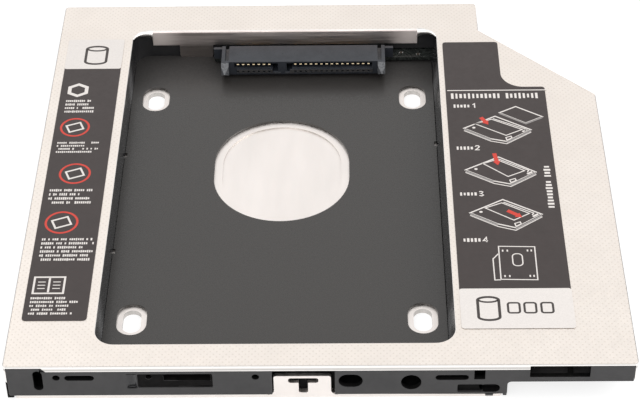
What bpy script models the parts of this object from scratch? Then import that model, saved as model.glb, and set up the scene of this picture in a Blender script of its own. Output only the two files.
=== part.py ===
# A caddy that carries a 2.5 inch drive in the place of a slim optical drive.
# Sizes are in millimetres, measured from the front left corner of the underside:
# x runs to the right, y to the rear and z up. MM turns them into Blender's metres.

import bpy
import bmesh
from math import acos, atan2, ceil, cos, pi, radians, sin, tan
from mathutils import Matrix, Vector

MM = 0.001
MERGE = 0.001             # points closer than this are one point
ARC_ERROR = 0.015         # an arc's facets stay this close to the true arc
OVERCUT = 0.6             # how far a cut goes past the wall that it opens

# Clearances
SEAT_GAP = 0.05           # between pieces that lie on each other
SIDE_GAP = 0.1            # between a piece's edge and the recess that it drops into
EDGE_GAP = 0.3            # round the liner and the board

# Plan, from the left and from the front
LEFT_BAR = 17.8
RIGHT_BAR = 10.2
WING_WIDTH = 26.0         # thin part on the right
FRONT_RIM = 6.4
REAR_RIM = 10.1
STEP_LENGTH = 11.3        # straight side between the rear edge and the slanted corner
PLAN_RADIUS = 0.8
HEIGHT = 9.5              # to the cover's top face; the labels lie on it
WING_HEIGHT = 4.9

# Screw holes of the drive, and the room round them in the bay
DRIVE_HOLES_ACROSS = 61.72
DRIVE_HOLES_ALONG = 76.6
HOLE_TO_SIDE = 6.14
HOLE_TO_FRONT = 15.3
HOLE_TO_REAR = 17.7
SLOT_WIDTH = 3.9
SLOT_LENGTH = 6.8
WINDOW_RADIUS = 4.2
LEFT_DRAFT = 0.3
RIGHT_DRAFT = 1.1

# Folded cover
SHEET = 0.5
BEND_RADIUS = 0.6         # outside radius of a folded edge
FLANGE_DROP = 4.5
LIP_DROP = 1.5
LIP_START = 8.6
LIP_SLANT = 0.9
RELIEF_RADIUS = 0.8
CLIP_LENGTH = 6.0
CLIP_HEIGHT = 1.8
CLIP_FROM_TOP = 1.6
CLIP_NEAR = 27.5          # y of the front pair of clips
CLIP_SPACING = 44.0
REAR_FOLD_SETBACK = 0.9   # the flange behind the connector stands this far inside the window
REAR_FOLD_DROP = 4.2
REAR_FOLD_INSET = 4.5     # from the window's side to the flange's end
REAR_FOLD_RADIUS = 0.9
TAB_WIDTH = 8.2
TAB_RADIUS = 1.2
TAB_TO_BOARD = 0.4

# Base plate
BASE_THICKNESS = 1.2
BASE_FRONT = 0.5
BASE_REAR_GAP = 0.7
RECESS_WIDTH = 27.3
RECESS_LENGTH = 32.6
RECESS_DEPTH = 0.3
RECESS_OFFSET = 11.4      # behind the middle of the drive's holes
HOOK_OFFSET = 4.9         # T slot for the bezel's hook, to the right of the bay's centre line
HOOK_BAR_WIDTH = 5.2
HOOK_BAR_LENGTH = 1.7
HOOK_BAR_RADIUS = 0.75
HOOK_STEM_WIDTH = 1.7
HOOK_STEM_LENGTH = 2.5

# Liner on the bay's floor
LINER_THICKNESS = 0.55
LINER_SLOT_MARGIN = 1.25  # liner opening beyond the plate's slot, all round
LINER_RECESS_MARGIN = 1.9
NOTCH_LENGTH = 1.4
NOTCH_DEPTH = 0.5
LEFT_NOTCH_FRONT = 43.5
LEFT_NOTCH_REAR = 77.0
RIGHT_NOTCH = 80.5

# Moulded frame
WALL = 1.2
FLOOR = 0.95
RIB = 1.1
RIB_PITCH = 12.6
BAR_SETBACK = 0.2         # the front bar ends this far in front of the window
LEFT_RIM = 1.4            # edges that wrap the sides of the base plate
RIGHT_RIM = 0.8
RIM_CLEARANCE = 0.1       # they stop this far above the table
STEP_RADIUS = 0.8
BOSS_RADIUS = 2.4
BOSS_HEIGHT = 5.0

# Openings in the frame's front face. Each names where its x is measured from: the left
# edge, the bay's centre line or the step on the right. Heights are above the base plate.
SLOTS = {
    "tall_slot": ("left", 5.9, 7.8, 1.6, 7.0),
    "left_slot": ("left", 12.3, 18.3, 4.3, 5.7),
    "latch_slot": ("left", 32.3, 41.9, 4.75, 5.85),
    "oval_hole": ("bay", 13.0, 17.9, 2.15, 5.65),
    "right_slot": ("step", -14.6, -7.9, 4.0, 5.4),
    "catch_pocket": ("step", -5.6, -1.5, 0.5, 2.7),
}
PANELS = {
    "latch_panel": ("left", 27.1, 42.3, 2.15, 6.05),
    "catch_panel": ("step", -10.1, -5.0, 0.5, 2.7),
}
ROUND_HOLES = {
    "left_hole": ("left", 10.6, 5.1, 1.5),
    "latch_hole": ("left", 30.1, 5.4, 1.1),
    "middle_hole": ("bay", -3.8, 5.1, 1.5),
    "right_hole": ("step", -19.5, 3.4, 4.1),
}
LATCH_POCKET = ("left", 35.2, 41.9, 2.35, 4.05)
KEY_NOTCH = ("step", -6.8, -4.6)
HOOK_NOTCH = ("bay", -0.3, 11.8)
WING_NOTCH = ("step", 4.4, 16.5)
FOOT_TAB = ("step", -4.4, -2.8)
PANEL_DEPTH = 0.7
PANEL_RADIUS = 0.3
KEY_NOTCH_DEPTH = 3.6
HOOK_NOTCH_HEIGHT = 4.7
HOOK_NOTCH_DEPTH = 5.0
HOOK_NOTCH_RADIUS = 1.0
WING_NOTCH_SILL = 1.3
FOOT_TAB_LENGTH = 0.7
GROOVE_X = 25.9
GROOVE_RADIUS = 1.3
GROOVE_DEPTH = 0.5

# Circuit board
BOARD_THICKNESS = 1.0
BOARD_STEP_GAP = 2.4
BOARD_OVERHANG = 2.5      # in front of the cover's rear flange
BOARD_RADIUS = 0.6
BOARD_SCREW_SETBACK = 2.2 # behind the bay's rear wall
BOARD_SCREW_LEFT = 3.2
BOARD_SCREW_RIGHT = 2.0

# Drive connector
CONNECTOR_OFFSET = 4.55   # to the right of the bay's centre line
CONNECTOR_REACH = 8.3     # from the rear flange to the front face
CONNECTOR_LENGTH = 6.6
CONNECTOR_HEIGHT = 3.8
CONNECTOR_LIFT = 0.8      # above the liner
CONNECTOR_END = 1.33      # wall beyond the outer mouth
SHOULDER = 1.95           # beyond the guide arm
SHOULDER_SETBACK = 2.3
SHOULDER_SLANT = 0.3
ARM_WIDTH = 1.9
ARM_REACH = 2.5
ARM_POINT = 1.6
CONTACT_PITCH = 1.27
SIGNAL_CONTACTS = 7
POWER_CONTACTS = 15
CONTACT_GROUP_GAP = 6.35
MOUTH_DEPTH = 4.6
MOUTH_HEIGHT = 1.35
MOUTH_MARGIN = 0.89       # beyond the first and the last contact
MOUTH_TOP_WALL = 0.4
KEY_WIDTH = 2.1
KEY_DROP = 1.1
ROW_HEIGHT = 0.5
ROW_LIFT = 0.8
CONTACT_WIDTH = 0.55
CONTACT_THICKNESS = 0.2
CONTACT_TIP = 0.8
CONTACT_BOW = 0.35
CONTACT_RETURN = 1.8
CONTACT_FOOT = 0.9

# Host plug at the rear
PLUG_FROM_STEP = 18.0
PLUG_HEIGHT = 3.6
PLUG_LENGTH = 6.6
PLUG_REAR_GAP = 0.9
PLUG_BACK = 2.0
PLUG_PILLAR = 1.7
PLUG_SIDE_ROOM = 1.9
PLUG_FLOOR = 0.6
TONGUE_THICKNESS = 1.0
TONGUE_LIFT = 1.4
HOST_SIGNALS = 7
HOST_POWERS = 6
HOST_POWER_PITCH = 1.0
HOST_GROUP_GAP = 3.0
HOST_CONTACT_WIDTH = 0.35
HOST_CONTACT_THICKNESS = 0.15
HOST_CONTACT_SETBACK = 0.6

# Screws
SCREW_RADIUS = 0.8
SCREW_GAP = 0.2
SCREW_LENGTH = 4.2
CONE_RADIUS = 1.8
CONE_DEPTH = 0.95
PAN_RADIUS = 1.7
PAN_CROWN_RADIUS = 1.3
PAN_HEIGHT = 1.1
SCREW_BEFORE_HOLE = 7.4   # base screws, from the drive's holes
SCREW_BEHIND_HOLE = 4.2

# Labels
LABEL_THICKNESS = 0.1
LABEL_GAP = 0.02
LABEL_RADIUS = 0.8
LEFT_LABEL_EDGE = 2.3     # from the cover's left side
LEFT_LABEL_SIDE = 2.0     # from the window's side, front and rear edge
LEFT_LABEL_FRONT = 7.0
LEFT_LABEL_REAR = 4.0
RIGHT_LABEL_SIDE = 1.3
RIGHT_LABEL_FRONT = 4.0
RIGHT_LABEL_REAR = 6.2
RIGHT_LABEL_EDGE = 11.6
LABEL_NECK = 4.4          # the neck's right side, beyond the step
LABEL_SHOULDER = 3.0      # behind the front end of the slanted edge
LABEL_FILLET = 5.2

# Places worked out from the sizes above
WINDOW_LEFT = LEFT_BAR
WINDOW_RIGHT = WINDOW_LEFT + DRIVE_HOLES_ACROSS + 2 * HOLE_TO_SIDE
WINDOW_FRONT = FRONT_RIM
HOLE_ROW_FRONT = WINDOW_FRONT + HOLE_TO_FRONT
HOLE_ROW_REAR = HOLE_ROW_FRONT + DRIVE_HOLES_ALONG
WINDOW_REAR = HOLE_ROW_REAR + HOLE_TO_REAR
BAY_CENTRE = (WINDOW_LEFT + WINDOW_RIGHT) / 2
REAR_WIDTH = WINDOW_RIGHT + RIGHT_BAR
WIDTH = REAR_WIDTH + WING_WIDTH
DEPTH = WINDOW_REAR + REAR_RIM
SLANT_REAR = DEPTH - STEP_LENGTH
SLANT_FRONT = SLANT_REAR - WING_WIDTH

COVER_UNDER = HEIGHT - SHEET
FLANGE_LOW = HEIGHT - FLANGE_DROP
WING_LOW = HEIGHT - WING_HEIGHT
FRAME_LOW = BASE_THICKNESS + SEAT_GAP
FRAME_HIGH = COVER_UNDER - SEAT_GAP
FRAME_INSET = SHEET + SEAT_GAP
SHELF_TOP = FRAME_LOW + FLOOR
LINER_TOP = FRAME_LOW + LINER_THICKNESS

RECESS_Y = (HOLE_ROW_FRONT + HOLE_ROW_REAR) / 2 + RECESS_OFFSET
FOLD_FRONT = WINDOW_REAR - REAR_FOLD_SETBACK
BAY_FRONT = WINDOW_FRONT - BAR_SETBACK
BAY_REAR = FOLD_FRONT + REAR_FOLD_RADIUS + SIDE_GAP
REAR_WALL = DEPTH - FRAME_INSET - WALL

CONTACTS_SPAN = (SIGNAL_CONTACTS + POWER_CONTACTS - 2) * CONTACT_PITCH + CONTACT_GROUP_GAP
CONNECTOR_X = BAY_CENTRE + CONNECTOR_OFFSET
CONNECTOR_HALF = CONTACTS_SPAN / 2 + MOUTH_MARGIN + CONNECTOR_END
CONNECTOR_LOW = LINER_TOP + CONNECTOR_LIFT
CONNECTOR_TOP = CONNECTOR_LOW + CONNECTOR_HEIGHT
CONNECTOR_FRONT = FOLD_FRONT - CONNECTOR_REACH
CONNECTOR_REAR = CONNECTOR_FRONT + CONNECTOR_LENGTH
SHOULDER_HALF = CONNECTOR_HALF + ARM_WIDTH + SHOULDER
MOUTH_TOP = CONNECTOR_TOP - MOUTH_TOP_WALL
MOUTH_LOW = MOUTH_TOP - MOUTH_HEIGHT
CONTACT_Z = (MOUTH_LOW + MOUTH_TOP + CONTACT_THICKNESS) / 2

BOARD_LEFT = CONNECTOR_X - SHOULDER_HALF
BOARD_RIGHT = REAR_WIDTH - BOARD_STEP_GAP
BOARD_FRONT = FOLD_FRONT - BOARD_OVERHANG
BOARD_REAR = REAR_WALL - EDGE_GAP
BOARD_LOW = SHELF_TOP + SEAT_GAP
BOARD_TOP = BOARD_LOW + BOARD_THICKNESS

PLUG_X = REAR_WIDTH - PLUG_FROM_STEP
HOST_SPAN = (HOST_SIGNALS - 1) * CONTACT_PITCH + HOST_GROUP_GAP + (HOST_POWERS - 1) * HOST_POWER_PITCH
PLUG_HALF = HOST_SPAN / 2 + PLUG_SIDE_ROOM + PLUG_PILLAR
PLUG_LOW = BOARD_TOP + SEAT_GAP
PLUG_REAR = DEPTH - PLUG_REAR_GAP
PLUG_FRONT = PLUG_REAR - PLUG_LENGTH
TONGUE_LOW = PLUG_LOW + TONGUE_LIFT
TONGUE_TOP = TONGUE_LOW + TONGUE_THICKNESS


def clear_scene():
    for thing in list(bpy.data.objects):
        bpy.data.objects.remove(thing)


def new_collection(name):
    collection = bpy.data.collections.new(name)
    bpy.context.scene.collection.children.link(collection)
    return collection


def arc_facets(radius, sweep):
    """Number of facets that keeps an arc within the allowed error."""
    facet = 2 * acos(1 - min(ARC_ERROR / radius, 0.1))
    return max(2, ceil(sweep / facet))


def add_point(points, point):
    if not points or (points[-1] - point).length > MERGE:
        points.append(point)


def rounded(corners):
    """Points of a closed outline from (x, y, radius) corners, with an arc at each round one."""
    points = []
    for i, (x, y, radius) in enumerate(corners):
        corner = Vector((x, y))
        if radius <= 0:
            add_point(points, corner)
            continue
        back = (Vector(corners[i - 1][:2]) - corner).normalized()
        ahead = (Vector(corners[(i + 1) % len(corners)][:2]) - corner).normalized()
        half = back.angle(ahead) / 2
        centre = corner + (back + ahead).normalized() * radius / sin(half)
        start = corner + back * radius / tan(half) - centre
        sweep = pi - 2 * half
        side = 1 if ahead.x * back.y - ahead.y * back.x > 0 else -1
        facets = arc_facets(radius, sweep)
        for step in range(facets + 1):
            angle = atan2(start.y, start.x) + side * sweep * step / facets
            add_point(points, centre + Vector((cos(angle), sin(angle))) * radius)
    if (points[0] - points[-1]).length <= MERGE:
        points.pop()
    return points


def inset(corners, distance):
    """The corners of an anticlockwise outline, moved inwards."""
    moved = []
    for i, (x, y, radius) in enumerate(corners):
        corner = Vector((x, y))
        arriving = (corner - Vector(corners[i - 1][:2])).normalized()
        leaving = (Vector(corners[(i + 1) % len(corners)][:2]) - corner).normalized()
        first = Vector((-arriving.y, arriving.x))
        second = Vector((-leaving.y, leaving.x))
        place = corner + (first + second) * distance / (1 + first.dot(second))
        convex = arriving.x * leaving.y - arriving.y * leaving.x > 0
        new_radius = max(radius - distance, 0) if convex else radius + distance
        moved.append((place.x, place.y, new_radius))
    return moved


def rectangle(x0, x1, y0, y1, radius=0.0):
    return [(x0, y0, radius), (x1, y0, radius), (x1, y1, radius), (x0, y1, radius)]


def obround(x, y, width, length):
    round_end = min(width, length) / 2
    return rectangle(x - width / 2, x + width / 2, y - length / 2, y + length / 2, round_end)


def circle(x, y, radius):
    sides = arc_facets(radius, 2 * pi)
    turns = [2 * pi * step / sides for step in range(sides)]
    return [Vector((x + radius * cos(turn), y + radius * sin(turn))) for turn in turns]


def link(name, mesh, collection):
    made = bpy.data.objects.new(name, mesh)
    collection.objects.link(made)
    if collection is CUTTERS:
        made.hide_render = True
        made.display_type = "WIRE"
    return made


def weld(mesh):
    cage = bmesh.new()
    cage.from_mesh(mesh)
    bmesh.ops.remove_doubles(cage, verts=cage.verts, dist=MERGE * MM)
    bmesh.ops.recalc_face_normals(cage, faces=cage.faces)
    cage.to_mesh(mesh)
    cage.free()


def plate(name, loops, low, high, collection, axis="Z"):
    """A flat outline with holes, given depth along an axis. The loops lie in the other two axes."""
    turn = {"Z": (0, 0, 0), "Y": (pi / 2, 0, 0), "X": (pi / 2, 0, pi / 2)}[axis]
    curve = bpy.data.curves.new(name, "CURVE")
    curve.dimensions = "2D"
    curve.fill_mode = "BOTH"
    curve.extrude = (high - low) / 2 * MM
    for loop in loops:
        spline = curve.splines.new("POLY")
        spline.points.add(len(loop) - 1)
        spline.use_cyclic_u = True
        for point, place in zip(spline.points, loop):
            point.co = (place.x * MM, place.y * MM, 0, 1)
    outline = bpy.data.objects.new(name + "_outline", curve)
    outline.rotation_euler = turn
    outline.location["XYZ".index(axis)] = (low + high) / 2 * MM
    bpy.context.scene.collection.objects.link(outline)
    bpy.context.view_layer.update()
    evaluated = outline.evaluated_get(bpy.context.evaluated_depsgraph_get())
    mesh = bpy.data.meshes.new_from_object(evaluated)
    weld(mesh)
    made = link(name, mesh, collection)
    made.matrix_world = outline.matrix_world
    bpy.data.objects.remove(outline)
    return made


def blocks(name, boxes, collection):
    """Boxes that don't touch each other, as one mesh. Each is (x0, x1, y0, y1, z0, z1)."""
    cage = bmesh.new()
    for x0, x1, y0, y1, z0, z1 in boxes:
        size = Matrix.Diagonal(((x1 - x0) * MM, (y1 - y0) * MM, (z1 - z0) * MM, 1))
        middle = Vector((x0 + x1, y0 + y1, z0 + z1)) * MM / 2
        bmesh.ops.create_cube(cage, size=1.0, matrix=Matrix.Translation(middle) @ size)
    mesh = bpy.data.meshes.new(name)
    cage.to_mesh(mesh)
    cage.free()
    return link(name, mesh, collection)


def posts(name, places, radius, low, high, collection):
    """Upright cylinders as one mesh, each at an (x, y) place."""
    cage = bmesh.new()
    sides = arc_facets(radius, 2 * pi)
    for x, y in places:
        middle = Matrix.Translation(Vector((x, y, (low + high) / 2)) * MM)
        bmesh.ops.create_cone(cage, cap_ends=True, segments=sides, radius1=radius * MM,
                              radius2=radius * MM, depth=(high - low) * MM, matrix=middle)
    mesh = bpy.data.meshes.new(name)
    cage.to_mesh(mesh)
    cage.free()
    return link(name, mesh, collection)


def turned(name, profile, collection):
    """A profile of (radius, z) points, listed from the top down, turned about the z axis."""
    mesh = bpy.data.meshes.new(name)
    edges = [(i, i + 1) for i in range(len(profile) - 1)]
    mesh.from_pydata([(radius * MM, 0, z * MM) for radius, z in profile], edges, [])
    made = link(name, mesh, collection)
    screw = made.modifiers.new("turn", "SCREW")
    screw.steps = arc_facets(max(radius for radius, z in profile), 2 * pi)
    screw.render_steps = screw.steps
    screw.use_merge_vertices = True
    screw.merge_threshold = MERGE * MM
    return made


def combine(piece, other, operation):
    boolean = piece.modifiers.new(other.name, "BOOLEAN")
    boolean.operation = operation
    boolean.object = other
    boolean.solver = "EXACT"


def cut(piece, *others):
    for other in others:
        combine(piece, other, "DIFFERENCE")


def join(piece, *others):
    for other in others:
        combine(piece, other, "UNION")


def front_span(opening):
    """The x range of an opening in the front face."""
    datum = {"left": 0.0, "bay": BAY_CENTRE, "step": REAR_WIDTH}[opening[0]]
    return datum + opening[1], datum + opening[2]


def cover_corners(front=0.0):
    return [(0, front, PLAN_RADIUS),
            (WIDTH, front, PLAN_RADIUS),
            (WIDTH, SLANT_FRONT, PLAN_RADIUS),
            (REAR_WIDTH, SLANT_REAR, PLAN_RADIUS),
            (REAR_WIDTH, DEPTH, PLAN_RADIUS),
            (0, DEPTH, PLAN_RADIUS)]


def clip_places():
    """Y ranges of the snap clips along both sides."""
    half = CLIP_LENGTH / 2
    return [(y - half, y + half) for y in (CLIP_NEAR, CLIP_NEAR + CLIP_SPACING)]


def round_top_edges(piece):
    """Fold radius along the cover's top outline, set by bevel weights."""
    mesh = piece.data
    weights = mesh.attributes.new("bevel_weight_edge", "FLOAT", "EDGE")
    sides = {}
    for polygon in mesh.polygons:
        upright = abs(polygon.normal.z) < 0.5
        for key in polygon.edge_keys:
            sides.setdefault(key, set()).add(upright)
    for edge in mesh.edges:
        ends = [(piece.matrix_world @ mesh.vertices[i].co).z for i in edge.vertices]
        if min(ends) > COVER_UNDER * MM and len(sides[tuple(sorted(edge.vertices))]) == 2:
            weights.data[edge.index].value = 1.0
    bevel = piece.modifiers.new("fold", "BEVEL")
    bevel.limit_method = "WEIGHT"
    bevel.width = BEND_RADIUS * MM
    bevel.segments = 3


def rear_fold():
    """The flange folded down along the window's rear edge, with its long tab."""
    back = WINDOW_REAR + REAR_FOLD_RADIUS
    low = FRAME_LOW + SEAT_GAP
    profile = [(back, HEIGHT, 0),
               (FOLD_FRONT, HEIGHT, REAR_FOLD_RADIUS),
               (FOLD_FRONT, low, 0),
               (FOLD_FRONT + SHEET, low, 0),
               (FOLD_FRONT + SHEET, COVER_UNDER, REAR_FOLD_RADIUS - SHEET),
               (back, COVER_UNDER, 0)]
    start = WINDOW_LEFT + REAR_FOLD_INSET
    end = WINDOW_RIGHT - REAR_FOLD_INSET
    fold = plate("rear_fold", [rounded(profile)], start, end, CUTTERS, "X")
    hem = HEIGHT - REAR_FOLD_DROP
    tab_right = BOARD_LEFT - TAB_TO_BOARD
    tab_left = tab_right - TAB_WIDTH
    below = low - OVERCUT
    waste = [(start - OVERCUT, below, 0), (end + OVERCUT, below, 0), (end + OVERCUT, hem, 0),
             (tab_right, hem, 0), (tab_right, low, TAB_RADIUS), (tab_left, low, TAB_RADIUS),
             (tab_left, hem, 0), (start - OVERCUT, hem, 0)]
    cut(fold, plate("rear_fold_waste", [rounded(waste)], FOLD_FRONT - OVERCUT,
                    FOLD_FRONT + SHEET + OVERCUT, CUTTERS, "Y"))
    return fold


def top_cover():
    cover = plate("top_cover", [rounded(cover_corners())], FLANGE_LOW, HEIGHT, PARTS)
    round_top_edges(cover)
    below = FLANGE_LOW - OVERCUT
    inside = plate("cover_inside", [rounded(inset(cover_corners(), SHEET))], below, COVER_UNDER, CUTTERS)
    opening = rectangle(WINDOW_LEFT, WINDOW_RIGHT, WINDOW_FRONT, WINDOW_REAR, WINDOW_RADIUS)
    window = plate("cover_window", [rounded(opening)], COVER_UNDER - OVERCUT, HEIGHT + OVERCUT, CUTTERS)
    lip_low = HEIGHT - LIP_DROP
    lip_end = front_span(WING_NOTCH)[0]
    right = WIDTH - SHEET
    open_front = [(SHEET, below, 0), (right, below, 0), (right, COVER_UNDER, 0),
                  (lip_end, COVER_UNDER, 0), (lip_end, lip_low, 0), (LIP_START, lip_low, 0),
                  (LIP_START - LIP_SLANT, COVER_UNDER, 0), (SHEET, COVER_UNDER, 0)]
    front = plate("cover_front_opening", [rounded(open_front)], -OVERCUT, PLAN_RADIUS + SEAT_GAP,
                  CUTTERS, "Y")
    gate = PLUG_HALF + WALL
    rear = blocks("cover_rear_opening", [(PLUG_X - gate, PLUG_X + gate, PLUG_REAR, DEPTH + OVERCUT,
                                          below, COVER_UNDER)], CUTTERS)
    relief_places = [(x, y) for x, y, radius in cover_corners()[2:]]
    reliefs = posts("cover_reliefs", relief_places, RELIEF_RADIUS, below, COVER_UNDER - SEAT_GAP, CUTTERS)
    clip_high = HEIGHT - CLIP_FROM_TOP
    clips = [(x - PLAN_RADIUS, x + PLAN_RADIUS, y0, y1, clip_high - CLIP_HEIGHT, clip_high)
             for x in (0, WIDTH) for y0, y1 in clip_places()]
    cut(cover, inside, window, front, rear, reliefs, blocks("cover_clip_windows", clips, CUTTERS))
    join(cover, rear_fold())
    return cover


def drive_hole_places():
    half = DRIVE_HOLES_ACROSS / 2
    return [(BAY_CENTRE + side * half, y) for side in (-1, 1) for y in (HOLE_ROW_FRONT, HOLE_ROW_REAR)]


def base_screw_places():
    """In the middle of both side bars."""
    across = (LEFT_BAR / 2, (WINDOW_RIGHT + REAR_WIDTH) / 2)
    along = (HOLE_ROW_FRONT - SCREW_BEFORE_HOLE, HOLE_ROW_REAR + SCREW_BEHIND_HOLE)
    return [(x, y) for x in across for y in along]


def countersinks():
    """Cutters for the screws' cones and shanks, one for each base screw."""
    wide = CONE_RADIUS + SCREW_GAP
    narrow = SCREW_RADIUS + SCREW_GAP
    above = BASE_THICKNESS + OVERCUT
    profile = [(0, above), (narrow, above), (narrow, CONE_DEPTH), (wide, 0), (wide, -OVERCUT),
               (0, -OVERCUT)]
    sinks = []
    for number, (x, y) in enumerate(base_screw_places(), 1):
        sink = turned("countersink_%d" % number, profile, CUTTERS)
        sink.location = Vector((x, y, 0)) * MM
        sinks.append(sink)
    return sinks


def base_plate():
    left = LEFT_RIM + SIDE_GAP
    right = REAR_WIDTH - RIGHT_RIM - SIDE_GAP
    rear = DEPTH - BASE_REAR_GAP
    middle = BAY_CENTRE + HOOK_OFFSET
    stem = HOOK_STEM_WIDTH / 2
    bar = HOOK_BAR_WIDTH / 2
    bar_low = BASE_FRONT + HOOK_STEM_LENGTH
    bar_high = bar_low + HOOK_BAR_LENGTH
    outline = [(left, BASE_FRONT, PLAN_RADIUS),
               (middle - stem, BASE_FRONT, 0),
               (middle - stem, bar_low, 0),
               (middle - bar, bar_low, HOOK_BAR_RADIUS),
               (middle - bar, bar_high, HOOK_BAR_RADIUS),
               (middle + bar, bar_high, HOOK_BAR_RADIUS),
               (middle + bar, bar_low, HOOK_BAR_RADIUS),
               (middle + stem, bar_low, 0),
               (middle + stem, BASE_FRONT, 0),
               (right, BASE_FRONT, PLAN_RADIUS),
               (right, rear, PLAN_RADIUS),
               (left, rear, PLAN_RADIUS)]
    slots = [rounded(obround(x, y, SLOT_WIDTH, SLOT_LENGTH)) for x, y in drive_hole_places()]
    base = plate("base_plate", [rounded(outline)] + slots, 0, BASE_THICKNESS, PARTS)
    recess = plate("base_recess", [rounded(obround(BAY_CENTRE, RECESS_Y, RECESS_WIDTH, RECESS_LENGTH))],
                   BASE_THICKNESS - RECESS_DEPTH, BASE_THICKNESS + OVERCUT, CUTTERS)
    cut(base, recess, *countersinks())
    return base


def bay_liner():
    left = WINDOW_LEFT + LEFT_DRAFT + EDGE_GAP
    right = WINDOW_RIGHT - RIGHT_DRAFT - EDGE_GAP
    sheet = rectangle(left, right, BAY_FRONT + EDGE_GAP, FOLD_FRONT - EDGE_GAP, WINDOW_RADIUS)
    grow = 2 * LINER_SLOT_MARGIN
    holes = [rounded(obround(x, y, SLOT_WIDTH + grow, SLOT_LENGTH + grow)) for x, y in drive_hole_places()]
    grow = 2 * LINER_RECESS_MARGIN
    middle = rounded(obround(BAY_CENTRE, RECESS_Y, RECESS_WIDTH + grow, RECESS_LENGTH + grow))
    liner = plate("bay_liner", [rounded(sheet), middle] + holes, FRAME_LOW, LINER_TOP, PARTS)
    half = NOTCH_LENGTH / 2
    notches = [(left - OVERCUT, left + NOTCH_DEPTH, y - half, y + half, 0, HEIGHT)
               for y in (LEFT_NOTCH_FRONT, LEFT_NOTCH_REAR)]
    notches.append((right - NOTCH_DEPTH, right + OVERCUT, RIGHT_NOTCH - half, RIGHT_NOTCH + half, 0, HEIGHT))
    cut(liner, blocks("liner_notches", notches, CUTTERS))
    return liner


def stretches(start, end):
    """Spans between ribs, none longer than the rib pitch."""
    count = max(1, ceil((end - start + RIB) / RIB_PITCH))
    length = (end - start - RIB * (count - 1)) / count
    lows = [start + i * (length + RIB) for i in range(count)]
    return [(low, low + length) for low in lows]


def pockets_along_y(x0, x1, y0, y1, floor):
    return [(x0, x1, low, high, floor, HEIGHT) for low, high in stretches(y0, y1)]


def pockets_along_x(x0, x1, y0, y1, floor):
    return [(low, high, y0, y1, floor, HEIGHT) for low, high in stretches(x0, x1)]


def frame_pockets():
    """Cored pockets in both side bars, the front and rear bars and the thin part."""
    left = FRAME_INSET + LEFT_RIM
    step_wall = REAR_WIDTH - WALL
    bar_rear = BAY_FRONT - WALL
    side_front = BAY_FRONT + WALL
    board_wall = BOARD_FRONT - EDGE_GAP - WALL
    hook_left, hook_right = front_span(HOOK_NOTCH)
    pockets = pockets_along_y(left + WALL, WINDOW_LEFT - 2 * WALL, side_front, REAR_WALL, SHELF_TOP)
    pockets += pockets_along_y(WINDOW_RIGHT + WALL, step_wall, side_front, board_wall, SHELF_TOP)
    pockets += pockets_along_x(left, hook_left - RIB, WALL, bar_rear, SHELF_TOP)
    pockets += pockets_along_x(hook_right + RIB, step_wall, WALL, bar_rear, SHELF_TOP)
    pockets += pockets_along_x(WINDOW_LEFT - WALL, BOARD_LEFT - EDGE_GAP - WALL, BAY_REAR + WALL,
                               REAR_WALL, SHELF_TOP)
    wing_floor = WING_LOW + FLOOR
    slant = SLANT_REAR + REAR_WIDTH - 2 * (FRAME_INSET + WALL)
    for x0, x1 in stretches(REAR_WIDTH + WALL, WIDTH - FRAME_INSET - WALL):
        pockets += pockets_along_y(x0, x1, WALL, slant - x1, wing_floor)
    return pockets


def front_slot(name, opening, depth):
    """Cutter with round ends."""
    x0, x1 = front_span(opening)
    z0, z1 = (BASE_THICKNESS + height for height in opening[3:])
    loop = rounded(obround((x0 + x1) / 2, (z0 + z1) / 2, x1 - x0, z1 - z0))
    return plate(name, [loop], -OVERCUT, depth, CUTTERS, "Y")


def front_panel(name, opening, depth):
    """Cutter with square ends."""
    x0, x1 = front_span(opening)
    z0, z1 = (BASE_THICKNESS + height for height in opening[3:])
    return plate(name, [rounded(rectangle(x0, x1, z0, z1, PANEL_RADIUS))], -OVERCUT, depth, CUTTERS, "Y")


def front_openings():
    through = WALL + OVERCUT
    cutters = [front_slot(name, opening, through) for name, opening in SLOTS.items()]
    for name, (datum, x, middle, width) in ROUND_HOLES.items():
        place = front_span((datum, x, x))[0]
        loop = circle(place, BASE_THICKNESS + middle, width / 2)
        cutters.append(plate(name, [loop], -OVERCUT, through, CUTTERS, "Y"))
    cutters.append(front_panel("latch_pocket", LATCH_POCKET, through))
    cutters += [front_panel(name, opening, PANEL_DEPTH) for name, opening in PANELS.items()]
    key_left, key_right = front_span(KEY_NOTCH)
    wing_left, wing_right = front_span(WING_NOTCH)
    above = HEIGHT + OVERCUT
    notches = [(key_left, key_right, -OVERCUT, through, FRAME_HIGH - KEY_NOTCH_DEPTH, above),
               (wing_left, wing_right, -OVERCUT, through, WING_LOW + WING_NOTCH_SILL, above)]
    cutters.append(blocks("front_notches", notches, CUTTERS))
    panel_low, panel_high = PANELS["latch_panel"][3:]
    cutters.append(posts("groove", [(GROOVE_X, GROOVE_DEPTH - GROOVE_RADIUS)], GROOVE_RADIUS,
                         BASE_THICKNESS + panel_low, BASE_THICKNESS + panel_high, CUTTERS))
    return cutters


def hook_notch():
    """Opening over the T slot, open below, with rounded lower corners on the bar."""
    x0, x1 = front_span(HOOK_NOTCH)
    low = FRAME_LOW - OVERCUT / 2
    high = BASE_THICKNESS + HOOK_NOTCH_HEIGHT
    radius = HOOK_NOTCH_RADIUS
    outline = [(x0 - 2 * radius, low - OVERCUT, 0), (x1 + 2 * radius, low - OVERCUT, 0),
               (x1 + 2 * radius, low, 0), (x1, low, radius), (x1, high, radius),
               (x0, high, radius), (x0, low, radius), (x0 - 2 * radius, low, 0)]
    return plate("hook_notch", [rounded(outline)], -OVERCUT, HOOK_NOTCH_DEPTH, CUTTERS, "Y")


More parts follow.
